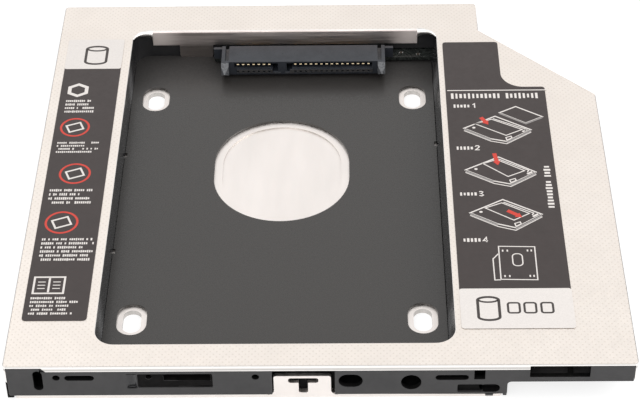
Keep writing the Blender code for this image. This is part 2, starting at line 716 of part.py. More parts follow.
def under_wing():
    """Space below the thin part, with a fillet where it meets the full-height side."""
    right = WIDTH + OVERCUT
    outline = [(REAR_WIDTH, -OVERCUT, 0), (right, -OVERCUT, 0), (right, WING_LOW, 0),
               (REAR_WIDTH, WING_LOW, STEP_RADIUS)]
    return plate("under_wing", [rounded(outline)], -OVERCUT, DEPTH + OVERCUT, CUTTERS, "Y")


def drive_bay():
    """The bay, whose side walls lean in by their drafts towards the floor."""
    outline = rectangle(WINDOW_LEFT, WINDOW_RIGHT, BAY_FRONT, BAY_REAR, WINDOW_RADIUS)
    bay = plate("drive_bay", [rounded(outline)], FRAME_LOW - OVERCUT, HEIGHT, CUTTERS)
    for vertex in bay.data.vertices:
        if vertex.co.z < 0:
            draft = LEFT_DRAFT if vertex.co.x < BAY_CENTRE * MM else -RIGHT_DRAFT
            vertex.co.x += draft * MM
    return bay


def snap_nubs():
    """Wedges on the frame's sides that hold the cover's clip windows."""
    high = HEIGHT - CLIP_FROM_TOP - SIDE_GAP
    low = high - CLIP_HEIGHT + 2 * SIDE_GAP
    root = FRAME_INSET + SIDE_GAP
    nubs = []
    for number, (y0, y1) in enumerate(clip_places(), 1):
        for side, wall, face in (("left", root, SIDE_GAP), ("right", WIDTH - root, WIDTH - SIDE_GAP)):
            outline = [Vector((wall, low)), Vector((face, low)), Vector((wall, high))]
            name = "snap_nub_%s_%d" % (side, number)
            nubs.append(plate(name, [outline], y0 + SIDE_GAP, y1 - SIDE_GAP, CUTTERS, "Y"))
    return nubs


def frame_feet():
    """Edges that wrap the base plate's sides, and a small tab beside its front edge."""
    top = FLANGE_LOW - EDGE_GAP
    front = WALL / 2
    rear = REAR_WALL + WALL / 2
    tab_left, tab_right = front_span(FOOT_TAB)
    left_rim = [(SIDE_GAP / 2, LEFT_RIM, front, rear, RIM_CLEARANCE, top)]
    right_rim = [(REAR_WIDTH - RIGHT_RIM, REAR_WIDTH + OVERCUT, front, rear, RIM_CLEARANCE, top)]
    foot_tab = [(tab_left, tab_right, SEAT_GAP, BASE_FRONT - SIDE_GAP,
                 FRAME_LOW - FOOT_TAB_LENGTH, FRAME_LOW + FLOOR / 2)]
    return [blocks("left_rim", left_rim, CUTTERS), blocks("right_rim", right_rim, CUTTERS),
            blocks("foot_tab", foot_tab, CUTTERS)]


def board_room():
    """Cutters for the board's space and for the plug's gate in the rear wall."""
    room = [(BOARD_LEFT - EDGE_GAP, BOARD_RIGHT + EDGE_GAP, BOARD_FRONT - EDGE_GAP, REAR_WALL,
             SHELF_TOP, HEIGHT)]
    half = PLUG_HALF + EDGE_GAP
    gate = [(PLUG_X - half, PLUG_X + half, REAR_WALL - WALL, DEPTH + OVERCUT, SHELF_TOP, HEIGHT)]
    return [blocks("board_room", room, CUTTERS), blocks("plug_gate", gate, CUTTERS)]


def moulded_frame():
    outline = inset(cover_corners(-FRAME_INSET), FRAME_INSET)
    frame = plate("moulded_frame", [rounded(outline)], FRAME_LOW, FRAME_HIGH, PARTS)
    lip_right = front_span(WING_NOTCH)[0] + EDGE_GAP
    lip_rebate = blocks("lip_rebate", [(LIP_START - LIP_SLANT - EDGE_GAP, lip_right, -OVERCUT, FRAME_INSET,
                                        HEIGHT - LIP_DROP - SEAT_GAP, HEIGHT)], CUTTERS)
    boss_top = FRAME_LOW + BOSS_HEIGHT
    bosses = posts("screw_bosses", base_screw_places(), BOSS_RADIUS, FRAME_LOW + FLOOR / 2, boss_top,
                   CUTTERS)
    hole = SCREW_RADIUS + SCREW_GAP
    base_holes = posts("base_screw_holes", base_screw_places(), hole, 0, boss_top - FLOOR, CUTTERS)
    board_holes = posts("board_screw_holes", board_screw_places(), hole, FRAME_LOW - OVERCUT,
                        SHELF_TOP + OVERCUT, CUTTERS)
    join(frame, *frame_feet())
    cut(frame, under_wing(), drive_bay(), *board_room(), blocks("frame_pockets", frame_pockets(), CUTTERS))
    join(frame, bosses)
    cut(frame, hook_notch(), lip_rebate, base_holes, board_holes, *front_openings())
    join(frame, *snap_nubs())
    return frame


def board_screw_places():
    y = BAY_REAR + BOARD_SCREW_SETBACK
    return [(BOARD_LEFT + BOARD_SCREW_LEFT, y), (BOARD_RIGHT - BOARD_SCREW_RIGHT, y)]


def circuit_board():
    outline = rectangle(BOARD_LEFT, BOARD_RIGHT, BOARD_FRONT, BOARD_REAR, BOARD_RADIUS)
    holes = [circle(x, y, SCREW_RADIUS + SCREW_GAP) for x, y in board_screw_places()]
    return plate("circuit_board", [rounded(outline)] + holes, BOARD_LOW, BOARD_TOP, PARTS)


def contact_offsets(first_count, second_count, second_pitch, gap):
    """X of two groups of contacts, from their common centre line."""
    first = [i * CONTACT_PITCH for i in range(first_count)]
    second = [first[-1] + gap + i * second_pitch for i in range(second_count)]
    middle = second[-1] / 2
    return [x - middle for x in first], [x - middle for x in second]


def drive_contact_offsets():
    return contact_offsets(SIGNAL_CONTACTS, POWER_CONTACTS, CONTACT_PITCH, CONTACT_GROUP_GAP)


def host_contact_offsets():
    return contact_offsets(HOST_SIGNALS, HOST_POWERS, HOST_POWER_PITCH, HOST_GROUP_GAP)


def drive_connector():
    """Receptacle with shoulders, guide arms, two contact mouths and a key between them."""
    shoulder_y = CONNECTOR_FRONT + SHOULDER_SETBACK
    arm_tip = CONNECTOR_FRONT - ARM_REACH
    arm_side = CONNECTOR_HALF + ARM_WIDTH
    half = [(CONNECTOR_HALF, CONNECTOR_FRONT),
            (CONNECTOR_HALF, arm_tip + ARM_POINT),
            (CONNECTOR_HALF + ARM_WIDTH / 2, arm_tip),
            (arm_side, arm_tip + ARM_POINT),
            (arm_side, shoulder_y),
            (SHOULDER_HALF, shoulder_y + SHOULDER_SLANT),
            (SHOULDER_HALF, CONNECTOR_REAR)]
    right = [Vector((CONNECTOR_X + x, y)) for x, y in half]
    left = [Vector((CONNECTOR_X - x, y)) for x, y in reversed(half)]
    body = plate("drive_connector", [right + left], CONNECTOR_LOW, CONNECTOR_TOP, PARTS)

    signals, powers = drive_contact_offsets()
    front = CONNECTOR_FRONT - OVERCUT
    rear = CONNECTOR_FRONT + MOUTH_DEPTH
    signal_start = CONNECTOR_X + signals[0] - MOUTH_MARGIN
    signal_end = CONNECTOR_X + signals[-1] + MOUTH_MARGIN
    power_start = CONNECTOR_X + powers[0] - MOUTH_MARGIN
    power_end = CONNECTOR_X + powers[-1] + MOUTH_MARGIN
    mouths = blocks("connector_mouths", [(signal_start, signal_end, front, rear, MOUTH_LOW, MOUTH_TOP),
                                         (power_start, power_end, front, rear, MOUTH_LOW, MOUTH_TOP)],
                    CUTTERS)
    key_left = (signal_end + power_start - KEY_WIDTH) / 2
    key_right = key_left + KEY_WIDTH
    key_rear = rear - SIDE_GAP
    key_low = MOUTH_LOW - KEY_DROP
    key_top = MOUTH_TOP - SIDE_GAP
    keyways = blocks("connector_keyways",
                     [(signal_end - SIDE_GAP, key_left, front, key_rear, key_low, key_top),
                      (key_right, power_start + SIDE_GAP, front, key_rear, key_low, key_top)], CUTTERS)
    room = CONTACT_WIDTH / 2 + SIDE_GAP
    spans = [(CONNECTOR_X + x - room, CONNECTOR_X + x + room) for x in signals + powers]
    height = CONTACT_THICKNESS / 2 + SIDE_GAP
    behind = CONNECTOR_REAR + OVERCUT
    channels = blocks("contact_channels",
                      [(x0, x1, rear - OVERCUT, behind, CONTACT_Z - height, CONTACT_Z + height)
                       for x0, x1 in spans], CUTTERS)
    row_low = CONNECTOR_LOW + ROW_LIFT
    row = blocks("connector_row", [(x0, x1, front, CONNECTOR_FRONT + OVERCUT, row_low, row_low + ROW_HEIGHT)
                                   for x0, x1 in spans], CUTTERS)
    side = SHOULDER_HALF + OVERCUT
    heel = blocks("connector_heel", [(CONNECTOR_X - side, CONNECTOR_X + side, BOARD_FRONT - EDGE_GAP,
                                      behind, 0, BOARD_TOP + SEAT_GAP)], CUTTERS)
    cut(body, mouths, keyways, channels, row, heel)
    return body


def strip(name, path, thickness, width):
    """A bent metal strip: a path of (y, z) points given thickness, and width along x."""
    points = [Vector(place) for place in path]
    ways = [(ahead - here).normalized() for here, ahead in zip(points, points[1:])]
    left = []
    right = []
    for point, arriving, leaving in zip(points, ways[:1] + ways, ways + ways[-1:]):
        first = Vector((-arriving.y, arriving.x))
        second = Vector((-leaving.y, leaving.x))
        offset = (first + second) * thickness / 2 / (1 + first.dot(second))
        left.append(point + offset)
        right.append(point - offset)
    return plate(name, [right + left[::-1]], -width / 2, width / 2, PARTS, "X")


def row_of_contacts(names, groups, centre, path, thickness, width):
    """One strip for each contact. All strips of a row share the first one's mesh."""
    places = [(name % number, x) for name, group in zip(names, groups) for number, x in enumerate(group, 1)]
    first = strip(places[0][0], path, thickness, width)
    contacts = [first] + [link(name, first.data, PARTS) for name, x in places[1:]]
    for contact, (name, x) in zip(contacts, places):
        contact.matrix_world = first.matrix_world
        contact.location.x = (centre + x) * MM
    return contacts


def drive_contacts():
    """Springs that run from the mouth, through the back wall, down to the board."""
    tip = CONNECTOR_FRONT + EDGE_GAP
    bow = tip + CONTACT_TIP
    bend = CONNECTOR_REAR + SIDE_GAP + CONTACT_THICKNESS
    foot = BOARD_TOP + SEAT_GAP + CONTACT_THICKNESS / 2
    path = [(tip, CONTACT_Z),
            (bow, CONTACT_Z - CONTACT_BOW),
            (bow + CONTACT_RETURN, CONTACT_Z),
            (bend, CONTACT_Z),
            (bend, foot),
            (bend + CONTACT_FOOT, foot)]
    names = ("drive_signal_contact_%d", "drive_power_contact_%d")
    return row_of_contacts(names, drive_contact_offsets(), CONNECTOR_X, path, CONTACT_THICKNESS,
                           CONTACT_WIDTH)


def host_plug():
    """Rear plug: back wall, two pillars, a floor and a tongue with a key gap."""
    plug = blocks("host_plug", [(PLUG_X - PLUG_HALF, PLUG_X + PLUG_HALF, PLUG_FRONT, PLUG_REAR,
                                 PLUG_LOW, PLUG_LOW + PLUG_HEIGHT)], PARTS)
    back = PLUG_FRONT + PLUG_BACK
    inner = PLUG_HALF - PLUG_PILLAR
    cavity = blocks("plug_cavity", [(PLUG_X - inner, PLUG_X + inner, back, PLUG_REAR + OVERCUT,
                                     PLUG_LOW + PLUG_FLOOR, PLUG_LOW + PLUG_HEIGHT + OVERCUT)], CUTTERS)
    signals, powers = host_contact_offsets()
    halves = [(PLUG_X + group[0] - CONTACT_WIDTH, PLUG_X + group[-1] + CONTACT_WIDTH, back - OVERCUT,
               PLUG_REAR - EDGE_GAP, TONGUE_LOW, TONGUE_TOP) for group in (signals, powers)]
    room = HOST_CONTACT_WIDTH / 2 + SIDE_GAP
    height = HOST_CONTACT_THICKNESS + SEAT_GAP + SIDE_GAP
    channels = blocks("plug_channels",
                      [(PLUG_X + x - room, PLUG_X + x + room, PLUG_FRONT - OVERCUT, back + SIDE_GAP,
                        TONGUE_TOP, TONGUE_TOP + height) for x in signals + powers], CUTTERS)
    cut(plug, cavity)
    join(plug, blocks("plug_tongue", halves, CUTTERS))
    cut(plug, channels)
    return plug


def host_contacts():
    """Flat contacts on the tongue, bent down to the board in front of the plug."""
    flat = TONGUE_TOP + SEAT_GAP + HOST_CONTACT_THICKNESS / 2
    foot = BOARD_TOP + SEAT_GAP + HOST_CONTACT_THICKNESS / 2
    bend = PLUG_FRONT - SIDE_GAP - HOST_CONTACT_THICKNESS
    path = [(PLUG_REAR - EDGE_GAP - HOST_CONTACT_SETBACK, flat),
            (bend, flat),
            (bend, foot),
            (bend - CONTACT_FOOT, foot)]
    names = ("host_signal_contact_%d", "host_power_contact_%d")
    return row_of_contacts(names, host_contact_offsets(), PLUG_X, path, HOST_CONTACT_THICKNESS,
                           HOST_CONTACT_WIDTH)


def screws(name, profile, places):
    made = []
    for number, (x, y) in enumerate(places, 1):
        screw = turned(name % number, profile, PARTS)
        screw.location = Vector((x, y, 0)) * MM
        made.append(screw)
    return made


def base_screws():
    """Countersunk screws, flush with the underside."""
    head = SEAT_GAP
    tip = head + SCREW_LENGTH
    profile = [(0, tip), (SCREW_RADIUS, tip), (SCREW_RADIUS, head + CONE_DEPTH), (CONE_RADIUS, head),
               (0, head)]
    return screws("base_screw_%d", profile, base_screw_places())


def board_screws():
    """Pan-head screws through the board into the frame's shelf."""
    seat = BOARD_TOP + SEAT_GAP
    crown = seat + PAN_HEIGHT
    tip = FRAME_LOW + SEAT_GAP
    profile = [(0, crown), (PAN_CROWN_RADIUS, crown), (PAN_RADIUS, seat + PAN_HEIGHT / 2),
               (PAN_RADIUS, seat), (SCREW_RADIUS, seat), (SCREW_RADIUS, tip), (0, tip)]
    return screws("board_screw_%d", profile, board_screw_places())


def left_label():
    sheet = rectangle(LEFT_LABEL_EDGE, WINDOW_LEFT - LEFT_LABEL_SIDE, WINDOW_FRONT + LEFT_LABEL_FRONT,
                      WINDOW_REAR - LEFT_LABEL_REAR, LABEL_RADIUS)
    low = HEIGHT + LABEL_GAP
    return plate("left_label", [rounded(sheet)], low, low + LABEL_THICKNESS, PARTS)


def right_label():
    """Label with a narrow neck beside the slanted edge."""
    left = WINDOW_RIGHT + RIGHT_LABEL_SIDE
    right = WIDTH - RIGHT_LABEL_EDGE
    front = WINDOW_FRONT + RIGHT_LABEL_FRONT
    rear = WINDOW_REAR - RIGHT_LABEL_REAR
    neck = REAR_WIDTH + LABEL_NECK
    shoulder = SLANT_FRONT + LABEL_SHOULDER
    outline = [(left, front, LABEL_RADIUS), (right, front, LABEL_RADIUS), (right, shoulder, LABEL_RADIUS),
               (neck, shoulder, LABEL_FILLET), (neck, rear, LABEL_RADIUS), (left, rear, LABEL_RADIUS)]
    low = HEIGHT + LABEL_GAP
    return plate("right_label", [rounded(outline)], low, low + LABEL_THICKNESS, PARTS)


def dress(pieces, finish, colour, roughness, metallic=0.0):
    """Gives each mesh a material of its own. Contacts of one row share theirs."""
    for piece in pieces:
        if piece.data.materials:
            continue
        made = bpy.data.materials.new(piece.name + "_" + finish)
        made.use_nodes = True
        shader = made.node_tree.nodes["Principled BSDF"]
        shader.inputs["Base Color"].default_value = (*colour, 1.0)
        shader.inputs["Roughness"].default_value = roughness
        shader.inputs["Metallic"].default_value = metallic
        piece.data.materials.append(made)
        piece.data.shade_smooth()
        piece.data.set_sharp_from_angle(angle=radians(30))


clear_scene()
PARTS = new_collection("laptop_drive_caddy")
CUTTERS = new_collection("cutters")

dress([top_cover(), base_plate()], "aluminium", (0.80, 0.77, 0.74), 0.42, 0.9)
dress([moulded_frame()], "black_plastic", (0.055, 0.052, 0.05), 0.45)
dress([bay_liner()], "liner_film", (0.075, 0.068, 0.062), 0.7)
dress([circuit_board()], "board_lacquer", (0.02, 0.025, 0.022), 0.4)
dress([drive_connector(), host_plug()], "connector_resin", (0.09, 0.10, 0.12), 0.5)
dress(drive_contacts() + host_contacts(), "gold", (0.95, 0.72, 0.35), 0.25, 1.0)
dress(base_screws() + board_screws(), "steel", (0.60, 0.60, 0.61), 0.3, 1.0)
dress([left_label(), right_label()], "printed_film", (0.09, 0.08, 0.075), 0.6)

centre = bpy.data.objects.new("caddy_centre", None)
centre.location = Vector((-WIDTH / 2, -DEPTH / 2, 0)) * MM
bpy.context.scene.collection.objects.link(centre)
for piece in list(PARTS.objects) + list(CUTTERS.objects):
    piece.parent = centre
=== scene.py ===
from math import cos, pi, radians, sin
import bpy
import bmesh
from mathutils import Matrix, Vector


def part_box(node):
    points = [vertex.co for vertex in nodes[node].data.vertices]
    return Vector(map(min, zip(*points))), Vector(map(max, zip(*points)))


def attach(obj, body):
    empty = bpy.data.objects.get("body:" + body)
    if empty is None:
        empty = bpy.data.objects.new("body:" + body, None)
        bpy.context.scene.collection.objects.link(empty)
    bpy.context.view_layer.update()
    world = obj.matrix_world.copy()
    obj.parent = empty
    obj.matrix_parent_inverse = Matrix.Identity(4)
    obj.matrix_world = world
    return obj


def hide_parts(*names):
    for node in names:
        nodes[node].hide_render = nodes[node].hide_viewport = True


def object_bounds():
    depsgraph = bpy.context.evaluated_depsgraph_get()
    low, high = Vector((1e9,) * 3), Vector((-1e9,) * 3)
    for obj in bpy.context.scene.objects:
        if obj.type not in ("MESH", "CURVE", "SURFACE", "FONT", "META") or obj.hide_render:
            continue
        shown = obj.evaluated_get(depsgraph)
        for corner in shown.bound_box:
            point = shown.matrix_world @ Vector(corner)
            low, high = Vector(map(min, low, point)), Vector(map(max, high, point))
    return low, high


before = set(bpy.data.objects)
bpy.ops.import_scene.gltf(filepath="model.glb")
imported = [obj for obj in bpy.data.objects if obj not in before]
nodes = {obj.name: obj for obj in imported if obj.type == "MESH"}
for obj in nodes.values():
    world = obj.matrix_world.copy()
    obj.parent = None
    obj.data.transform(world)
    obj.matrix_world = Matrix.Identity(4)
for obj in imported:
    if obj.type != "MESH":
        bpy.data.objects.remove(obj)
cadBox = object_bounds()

# A caddy that holds a 2.5 inch drive in a slim optical bay. Sizes below are in millimetres
# from the caddy's front left corner, the same way as a workshop drawing gives them.

mm = 0.001
body = "root"


def at(x, y, z):
    return Vector((cadBox[0].x + x * mm, cadBox[0].y + y * mm, z * mm))


def onDrawing(point):
    return (point - Vector((cadBox[0].x, cadBox[0].y, 0))) / mm


def newObject(name, data):
    made = bpy.data.objects.new(name, data)
    bpy.context.scene.collection.objects.link(made)
    return made


# helpers that build node trees

def addNode(tree, kind, values=None, **settings):
    # a value that is another node's output gets wired to the input
    node = tree.nodes.new(kind)
    for key, value in settings.items():
        setattr(node, key, value)
    for key, value in (values or {}).items():
        if isinstance(value, bpy.types.NodeSocket):
            tree.links.new(value, node.inputs[key])
        else:
            node.inputs[key].default_value = value
    return node


def calculate(tree, operation, *values):
    return addNode(tree, "ShaderNodeMath", dict(enumerate(values)), operation=operation).outputs[0]


def seenRays(tree, *kinds):
    path = addNode(tree, "ShaderNodeLightPath")
    seen = path.outputs[kinds[0]]
    for kind in kinds[1:]:
        seen = calculate(tree, "MAXIMUM", seen, path.outputs[kind])
    return seen


# camera, light and floor

camera = {"place": (0.0057, -0.34575, 0.2942), "azimuth": 1.56, "elevation": 40.51, "roll": -1.40,
          "lens": 112.0, "sensor": 36, "shiftX": 0.0227, "shiftY": 0.0036, "nearest": 0.01}
lamps = {
    "softboxBehind": {"place": (-0.40, 0.26, 0.42), "size": 0.36, "power": 0.38},
    "softboxRight": {"place": (0.48, -0.02, 0.40), "size": 0.36, "power": 1.30},
    "softboxFront": {"place": (-0.20, -0.46, 0.42), "size": 0.45, "power": 0.80},
}
surroundings = {"ambient": 0.64, "floorWhite": 0.79, "floorShade": 0.38, "floorBounce": 0.80,
                "floorSide": 3.0, "floorHeight": -0.00002}


def aimCamera():
    az, el, roll = (radians(camera[key]) for key in ("azimuth", "elevation", "roll"))
    back = Vector((sin(az) * cos(el), -cos(az) * cos(el), sin(el)))
    right = (-back).cross(Vector((0, 0, 1))).normalized()
    up = right.cross(-back)
    across = right * cos(roll) + up * sin(roll)
    along = up * cos(roll) - right * sin(roll)
    data = bpy.data.cameras.new("camera")
    data.lens = camera["lens"]
    data.sensor_fit = "HORIZONTAL"
    data.sensor_width = camera["sensor"]
    data.shift_x = camera["shiftX"]
    data.shift_y = camera["shiftY"]
    data.clip_start = camera["nearest"]
    viewer = newObject("camera", data)
    turn = Matrix((across, along, back)).transposed().to_4x4()
    viewer.matrix_world = Matrix.Translation(Vector(camera["place"])) @ turn
    bpy.context.scene.camera = viewer


def hangLamps():
    for name, lamp in lamps.items():
        data = bpy.data.lights.new(name, "AREA")
        data.size = lamp["size"]
        data.energy = lamp["power"]
        hung = newObject(name, data)
        hung.location = lamp["place"]
        hung.rotation_euler = (-Vector(lamp["place"])).to_track_quat("-Z", "Y").to_euler()


def lightTheRoom():
    # the lamps and this even light reach the object; what is seen around it is plain white
    world = bpy.data.worlds.new("white room")
    world.use_nodes = True
    bpy.context.scene.world = world
    tree = world.node_tree
    ambient = tree.nodes["Background"]
    ambient.inputs["Color"].default_value = (1, 1, 1, 1)
    ambient.inputs["Strength"].default_value = surroundings["ambient"]
    shown = addNode(tree, "ShaderNodeBackground", {"Color": (1, 1, 1, 1), "Strength": 1})
    seen = seenRays(tree, "Is Camera Ray", "Is Glossy Ray", "Is Transmission Ray")
    mix = addNode(tree, "ShaderNodeMixShader",
                  {0: seen, 1: ambient.outputs[0], 2: shown.outputs[0]})
    tree.links.new(mix.outputs[0], tree.nodes["World Output"].inputs["Surface"])


def layFloor():
    # seen, the floor is white paper that keeps the shadow; for other rays it is pale
    paper = bpy.data.materials.new("white paper floor")
    paper.use_nodes = True
    tree = paper.node_tree
    tree.nodes.remove(tree.nodes["Principled BSDF"])
    bounce, shade = (addNode(tree, "ShaderNodeBsdfDiffuse",
                             {"Color": (*[surroundings[key]] * 3, 1)}).outputs[0]
                     for key in ("floorBounce", "floorShade"))
    white = addNode(tree, "ShaderNodeEmission", {"Strength": surroundings["floorWhite"]})
    shown = addNode(tree, "ShaderNodeAddShader", {0: shade, 1: white.outputs[0]})
    mix = addNode(tree, "ShaderNodeMixShader",
                  {0: seenRays(tree, "Is Camera Ray", "Is Glossy Ray"), 1: bounce,
                   2: shown.outputs[0]})
    tree.links.new(mix.outputs[0], tree.nodes["Material Output"].inputs["Surface"])
    half, low = surroundings["floorSide"] / 2, surroundings["floorHeight"]
    sheet = bpy.data.meshes.new("floor")
    sheet.from_pydata([(-half, -half, low), (half, -half, low), (half, half, low),
                       (-half, half, low)], [], [(0, 1, 2, 3)])
    sheet.materials.append(paper)
    newObject("floor", sheet)


bpy.context.scene.view_settings.view_transform = "Standard"
aimCamera()
hangLamps()
lightTheRoom()
layFloor()
print("camera, lamps, room and floor are in place")


# finishes: the grain and relief of each material, with the light and shade painted into some of
# them

def noise(finish, size, stretch=(1, 1, 1), detail=3.0, unevenness=0.5):
    # size of the grain in mm; stretch makes it longer along an axis
    tree = finish.node_tree
    place = addNode(tree, "ShaderNodeTexCoord")
    turn = addNode(tree, "ShaderNodeMapping",
                   {"Vector": place.outputs["Object"],
                    "Scale": [1 / (size * mm * length) for length in stretch]})
    return addNode(tree, "ShaderNodeTexNoise",
                   {"Vector": turn.outputs["Vector"], "Scale": 1.0, "Detail": detail,
                    "Roughness": unevenness}).outputs["Fac"]


def varyColour(finish, factor, dark, light, low=0.3, high=0.7):
    tree = finish.node_tree
    blend = addNode(tree, "ShaderNodeValToRGB", {"Fac": factor})
    for step, place, colour in zip(blend.color_ramp.elements, (low, high), (dark, light)):
        step.position = place
        step.color = (*colour, 1)
    tree.links.new(blend.outputs["Color"], tree.nodes["Principled BSDF"].inputs["Base Color"])


def varyRoughness(finish, factor, smooth, rough):
    tree = finish.node_tree
    spread = addNode(tree, "ShaderNodeMapRange",
                     {"Value": factor, "From Min": 0.3, "From Max": 0.7, "To Min": smooth,
                      "To Max": rough}, clamp=False)
    tree.links.new(spread.outputs["Result"], tree.nodes["Principled BSDF"].inputs["Roughness"])


def addRelief(finish, height, depth):
    # depth in mm; several reliefs lie on top of each other
    tree = finish.node_tree
    shader = tree.nodes["Principled BSDF"]
    relief = addNode(tree, "ShaderNodeBump", {"Strength": 1.0, "Distance": depth * mm,
                                              "Height": height})
    for wire in list(shader.inputs["Normal"].links):
        tree.links.new(wire.from_socket, relief.inputs["Normal"])
    tree.links.new(relief.outputs["Normal"], shader.inputs["Normal"])


def tintWhere(finish, mask, colour):
    # the base colour changes to another one where the mask is 1
    tree = finish.node_tree
    base = tree.nodes["Principled BSDF"].inputs["Base Color"]
    mix = addNode(tree, "ShaderNodeMix", data_type="RGBA")
    tree.links.new(mask, mix.inputs["Factor"])
    tree.links.new(base.links[0].from_socket, mix.inputs[6])
    mix.inputs[7].default_value = (*colour, 1)
    tree.links.new(mix.outputs[2], base)


def softStep(tree, value, low, high):
    return addNode(tree, "ShaderNodeMapRange",
                   {"Value": value, "From Min": low, "From Max": high},
                   interpolation_type="SMOOTHSTEP").outputs["Result"]


def alongAxis(finish, axis):
    tree = finish.node_tree
    place = addNode(tree, "ShaderNodeTexCoord")
    return addNode(tree, "ShaderNodeSeparateXYZ", {0: place.outputs["Object"]}).outputs[axis]


def slope(finish, axis, start, end):
    # 0 up to one place on the drawing's axis, rising to 1 at another; either may come first
    corner = at(0, 0, 0)["XYZ".index(axis)]
    return softStep(finish.node_tree, alongAxis(finish, axis), corner + start * mm,
                    corner + end * mm)


def band(finish, axis, start, full, fade, end):
    return calculate(finish.node_tree, "MULTIPLY", slope(finish, axis, start, full),
                     slope(finish, axis, end, fade))


def tented(tree, value):
    # 0 at whole numbers and 1 half way between them
    return calculate(tree, "PINGPONG", calculate(tree, "MULTIPLY", value, 2.0), 1.0)


def dotRows(finish, look):
    tree = finish.node_tree
    across = calculate(tree, "DIVIDE", alongAxis(finish, "Y"), look["rowPitch"] * mm)
    shifted = calculate(tree, "MULTIPLY", calculate(tree, "FLOOR", across), 0.5)
    along = calculate(tree, "ADD", calculate(tree, "DIVIDE", alongAxis(finish, "X"),
                                             look["dotPitch"] * mm), shifted)
    return calculate(tree, "MULTIPLY", softStep(tree, tented(tree, across), *look["rowEdge"]),
                     softStep(tree, tented(tree, along), *look["dotEdge"]))


def makeFinish(name, colours, patches=None, roughness=0.5, gloss=None, relief=None, metal=0.0,
               specular=0.5):
    # colours and roughness run between two ends over the grain of the patches and of the gloss;
    # relief is a depth followed by its grain
    finish = bpy.data.materials.new(name)
    finish.use_nodes = True
    shader = finish.node_tree.nodes["Principled BSDF"]
    shader.inputs["Base Color"].default_value = (*colours[1], 1)
    shader.inputs["Metallic"].default_value = metal
    shader.inputs["Specular IOR Level"].default_value = specular
    finish.diffuse_color = (*colours[1], 1)
    if patches:
        varyColour(finish, noise(finish, *patches), *colours)
    if gloss:
        varyRoughness(finish, noise(finish, *gloss), *roughness)
    else:
        shader.inputs["Roughness"].default_value = roughness
    if relief:
        addRelief(finish, noise(finish, *relief[1:]), relief[0])
    return finish


